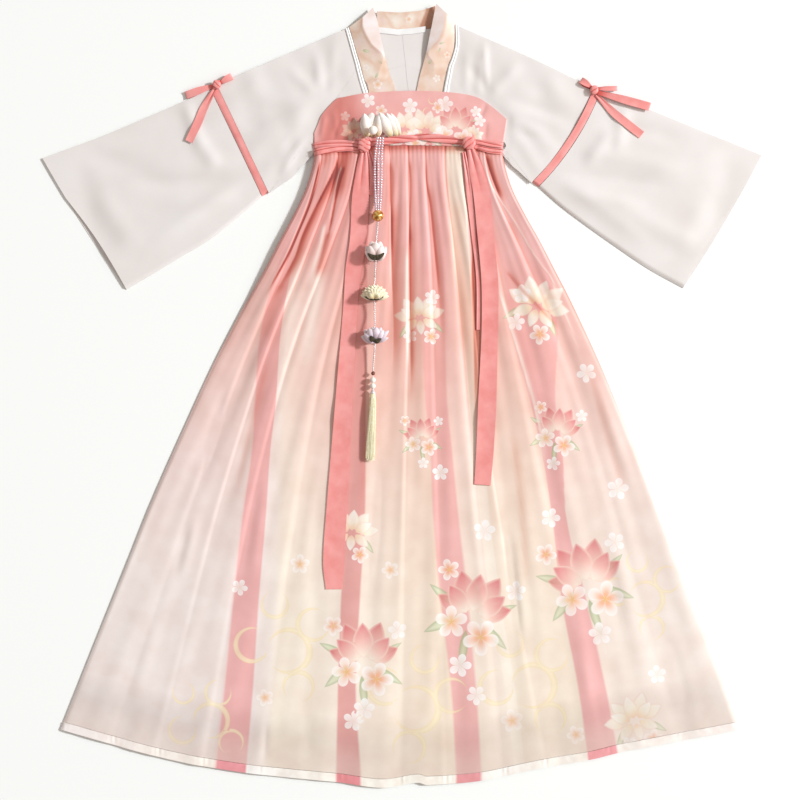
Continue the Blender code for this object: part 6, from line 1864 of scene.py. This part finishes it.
# Felted dark olive calyx under each lotus: matt, with a short nap
cap_felt, tree, cloud = cloth_material("olive_felt_calyx", 0.9, 0.4, 0.5, 0.4, 3.0)
dye(tree, ramped(tree, cloud, [(0.3, "#2F2618"), (0.7, "#564930")]))
uppers, lowers, places = petal_walls(CAP_LEAVES, 0.8)
caps = show("pendant_calyx_leaves", cloth_mesh("pendant_calyx_leaves", uppers, lowers), cap_felt)

# Gilt filigree: cut gold leaf over a ball, darker between its curls
gold, tree, where = plain_material("gilt_filigree", 0.3, 0.55)
curls = add(tree, "ShaderNodeTexVoronoi", {"Vector": where, "Scale": 230.0}, feature="SMOOTH_F1")
dye(tree, ramped(tree, curls.outputs["Distance"], [(0.15, "#F6DE9A"), (0.4, "#DDA64C"), (0.62, "#A7632E")]))
relief = {"Height": curls.outputs["Distance"], "Strength": 1.0, "Distance": 0.0012}
bump = add(tree, "ShaderNodeBump", relief, invert=True)
tree.links.new(bump.outputs[0], shader_inputs(tree)["Normal"])
show(
    "pendant_gold_ball", round_mesh("pendant_gold_ball", [ball(-41.4, 309.1, 21.1, 9.9)]), gold,
    ["pendant_gold_bead"],
)
# Turned rosewood bead, oiled
rosewood, tree, cloud = cloth_material("oiled_rosewood_bead", 0.35, 0.0, 0.9, 0.1, 2.0)
dye(tree, ramped(tree, cloud, [(0.3, "#6B3A2C"), (0.7, "#93594A")]))
brown_bead = show(
    "pendant_brown_ball", round_mesh("pendant_brown_ball", [ball(-49.6, 38.8, 16.5, 3.5)]), rosewood,
    ["pendant_brown_bead"],
)
small_pearls = show(
    "pendant_small_pearls",
    round_mesh("pendant_small_pearls", [ball(-49.9, 27.4, 16.4, 5.0), ball(-50.1, 17.2, 16.4, 5.0)]),
    pearl_coat,
    ["pendant_pearl_upper", "pendant_pearl_lower"],
)
CAP_PROFILE = [
    (12.0, 1.2), (11.2, 2.0), (10.0, 2.3), (9.4, 2.9), (8.4, 2.9), (7.4, 3.9), (6.4, 3.9), (5.2, 4.8),
    (4.2, 4.6),
]
RING_SIDES = 32
ring_turn = np.arange(RING_SIDES) / RING_SIDES * 2.0 * math.pi


def turned_form(x, z, profile, flat=1.0):
    """Rings about a line along y, from (y, radius) rows; a flat of less than 1 presses them down."""
    return np.stack([
        np.stack([x + radius * np.cos(ring_turn), np.full(RING_SIDES, y), z + flat * radius * np.sin(ring_turn)], -1)
        for y, radius in profile
    ])


cap_grid = turned_form(-50.1, 16.4, CAP_PROFILE)
silver_cap = show(
    "pendant_cap_ring", round_mesh("pendant_cap_ring", [cap_grid]), silver, ["pendant_cap"],
)

# Tassel: about 220 silk strands bound into a head under the cap. They lie in a flat bundle on the skirt.
STRANDS = 220
chance = np.random.default_rng(7)
share = np.linspace(0.0, 1.0, 11)
strand_turn = np.arange(3) / 3.0 * 2.0 * math.pi
strands = []
for number in range(STRANDS):
    angle = 2.0 * math.pi * chance.random()
    spread = math.sqrt(chance.random())
    start_x = 3.8 * spread * math.cos(angle)
    start_z = 2.9 * spread * math.sin(angle)
    end_y = -103.0 - 9.0 * chance.random()
    drift = -4.6 + 0.5 * chance.standard_normal()
    x = -50.0 + start_x * (1.0 + 1.1 * share ** 0.45) + drift * share ** 1.5
    x = x + 0.4 * np.sin(5.0 * share + number)
    y = 4.4 + (end_y - 4.4) * share
    z = 15.6 - 4.5 * share + start_z * (1.0 - 0.2 * share) + 0.25 * np.sin(4.0 * share + 2.0 * number)
    strands.append(np.stack([
        x[:, None] + 0.27 * np.cos(strand_turn), np.broadcast_to(y[:, None], (11, 3)),
        z[:, None] + 0.27 * np.sin(strand_turn),
    ], -1))
HEAD_PROFILE = [(4.6, 3.4), (3.4, 4.0), (1.6, 4.2), (0.4, 3.9), (-0.6, 4.1), (-2.0, 3.9), (-3.4, 3.7)]
head = turned_form(-50.0, 15.6, HEAD_PROFILE, 0.75)
# Spun silk: fine bright threads, cream with a yellow cast
silk, tree, cloud = cloth_material("spun_silk_strands", 0.4, 0.3, 0.6, 0.1, 2.5)
dye(tree, ramped(tree, cloud, [(0.3, "#EDE0AE"), (0.5, "#F8EFCA"), (0.7, "#FDF9E4")]))
show(
    "pendant_tassel_silk", round_mesh("pendant_tassel_silk", strands + [head]), silk,
    ["pendant_tassel"],
)

# Table, light and camera: a plain white floor, a soft studio light from the upper right and a camera
# straight above that takes in 1.38 m across its frame
FRAME_WIDTH = 1.3813
CAMERA_HEIGHT = 3.0
floor_mesh = bpy.data.meshes.new("floor")
floor_corners = [(x, y, -0.0004) for x, y in ((-6, -6), (6, -6), (6, 6), (-6, 6))]
floor_mesh.from_pydata(floor_corners, [], [(0, 1, 2, 3)])
floor = bpy.data.objects.new("floor", floor_mesh)
bpy.context.scene.collection.objects.link(floor)
white_floor = bpy.data.materials.new("white_paper_floor")
white_floor.use_nodes = True
inputs = shader_inputs(white_floor.node_tree)
inputs["Base Color"].default_value = paint("#FAFAF7")
inputs["Roughness"].default_value = 0.9
inputs["Specular IOR Level"].default_value = 0.0
floor_mesh.materials.append(white_floor)

world = bpy.data.worlds.new("studio")
bpy.context.scene.world = world
world.use_nodes = True
world.node_tree.nodes["Background"].inputs["Color"].default_value = (1.0, 0.93, 0.89, 1.0)
world.node_tree.nodes["Background"].inputs["Strength"].default_value = 0.45
sun = bpy.data.lights.new("key", "SUN")
sun.energy = 3.35
sun.color = (0.9, 0.965, 1.0)
sun.angle = math.radians(6.0)
key = bpy.data.objects.new("key", sun)
bpy.context.scene.collection.objects.link(key)
KEY_AZIMUTH = math.radians(15.0)
KEY_HEIGHT = math.radians(31.0)
toward = Vector((
    math.cos(KEY_AZIMUTH) * math.cos(KEY_HEIGHT), math.sin(KEY_AZIMUTH) * math.cos(KEY_HEIGHT),
    math.sin(KEY_HEIGHT),
))
key.rotation_euler = toward.to_track_quat("Z", "Y").to_euler()

WINDOW_PLACE = (2.0, 0.3, 1.2)
window = bpy.data.lights.new("window", "AREA")
window.shape = "DISK"
window.size = 1.2
window.energy = 12.0
side_light = bpy.data.objects.new("window", window)
side_light.location = WINDOW_PLACE
side_light.rotation_euler = Vector(WINDOW_PLACE).to_track_quat("Z", "Y").to_euler()
bpy.context.scene.collection.objects.link(side_light)

lens = bpy.data.cameras.new("camera")
lens.sensor_width = 36.0
lens.lens = 36.0 * CAMERA_HEIGHT / FRAME_WIDTH
camera = bpy.data.objects.new("camera", lens)
camera.location = (-0.00345, -0.0069, CAMERA_HEIGHT)
bpy.context.scene.collection.objects.link(camera)
bpy.context.scene.camera = camera
bpy.context.scene.view_settings.view_transform = "Standard"
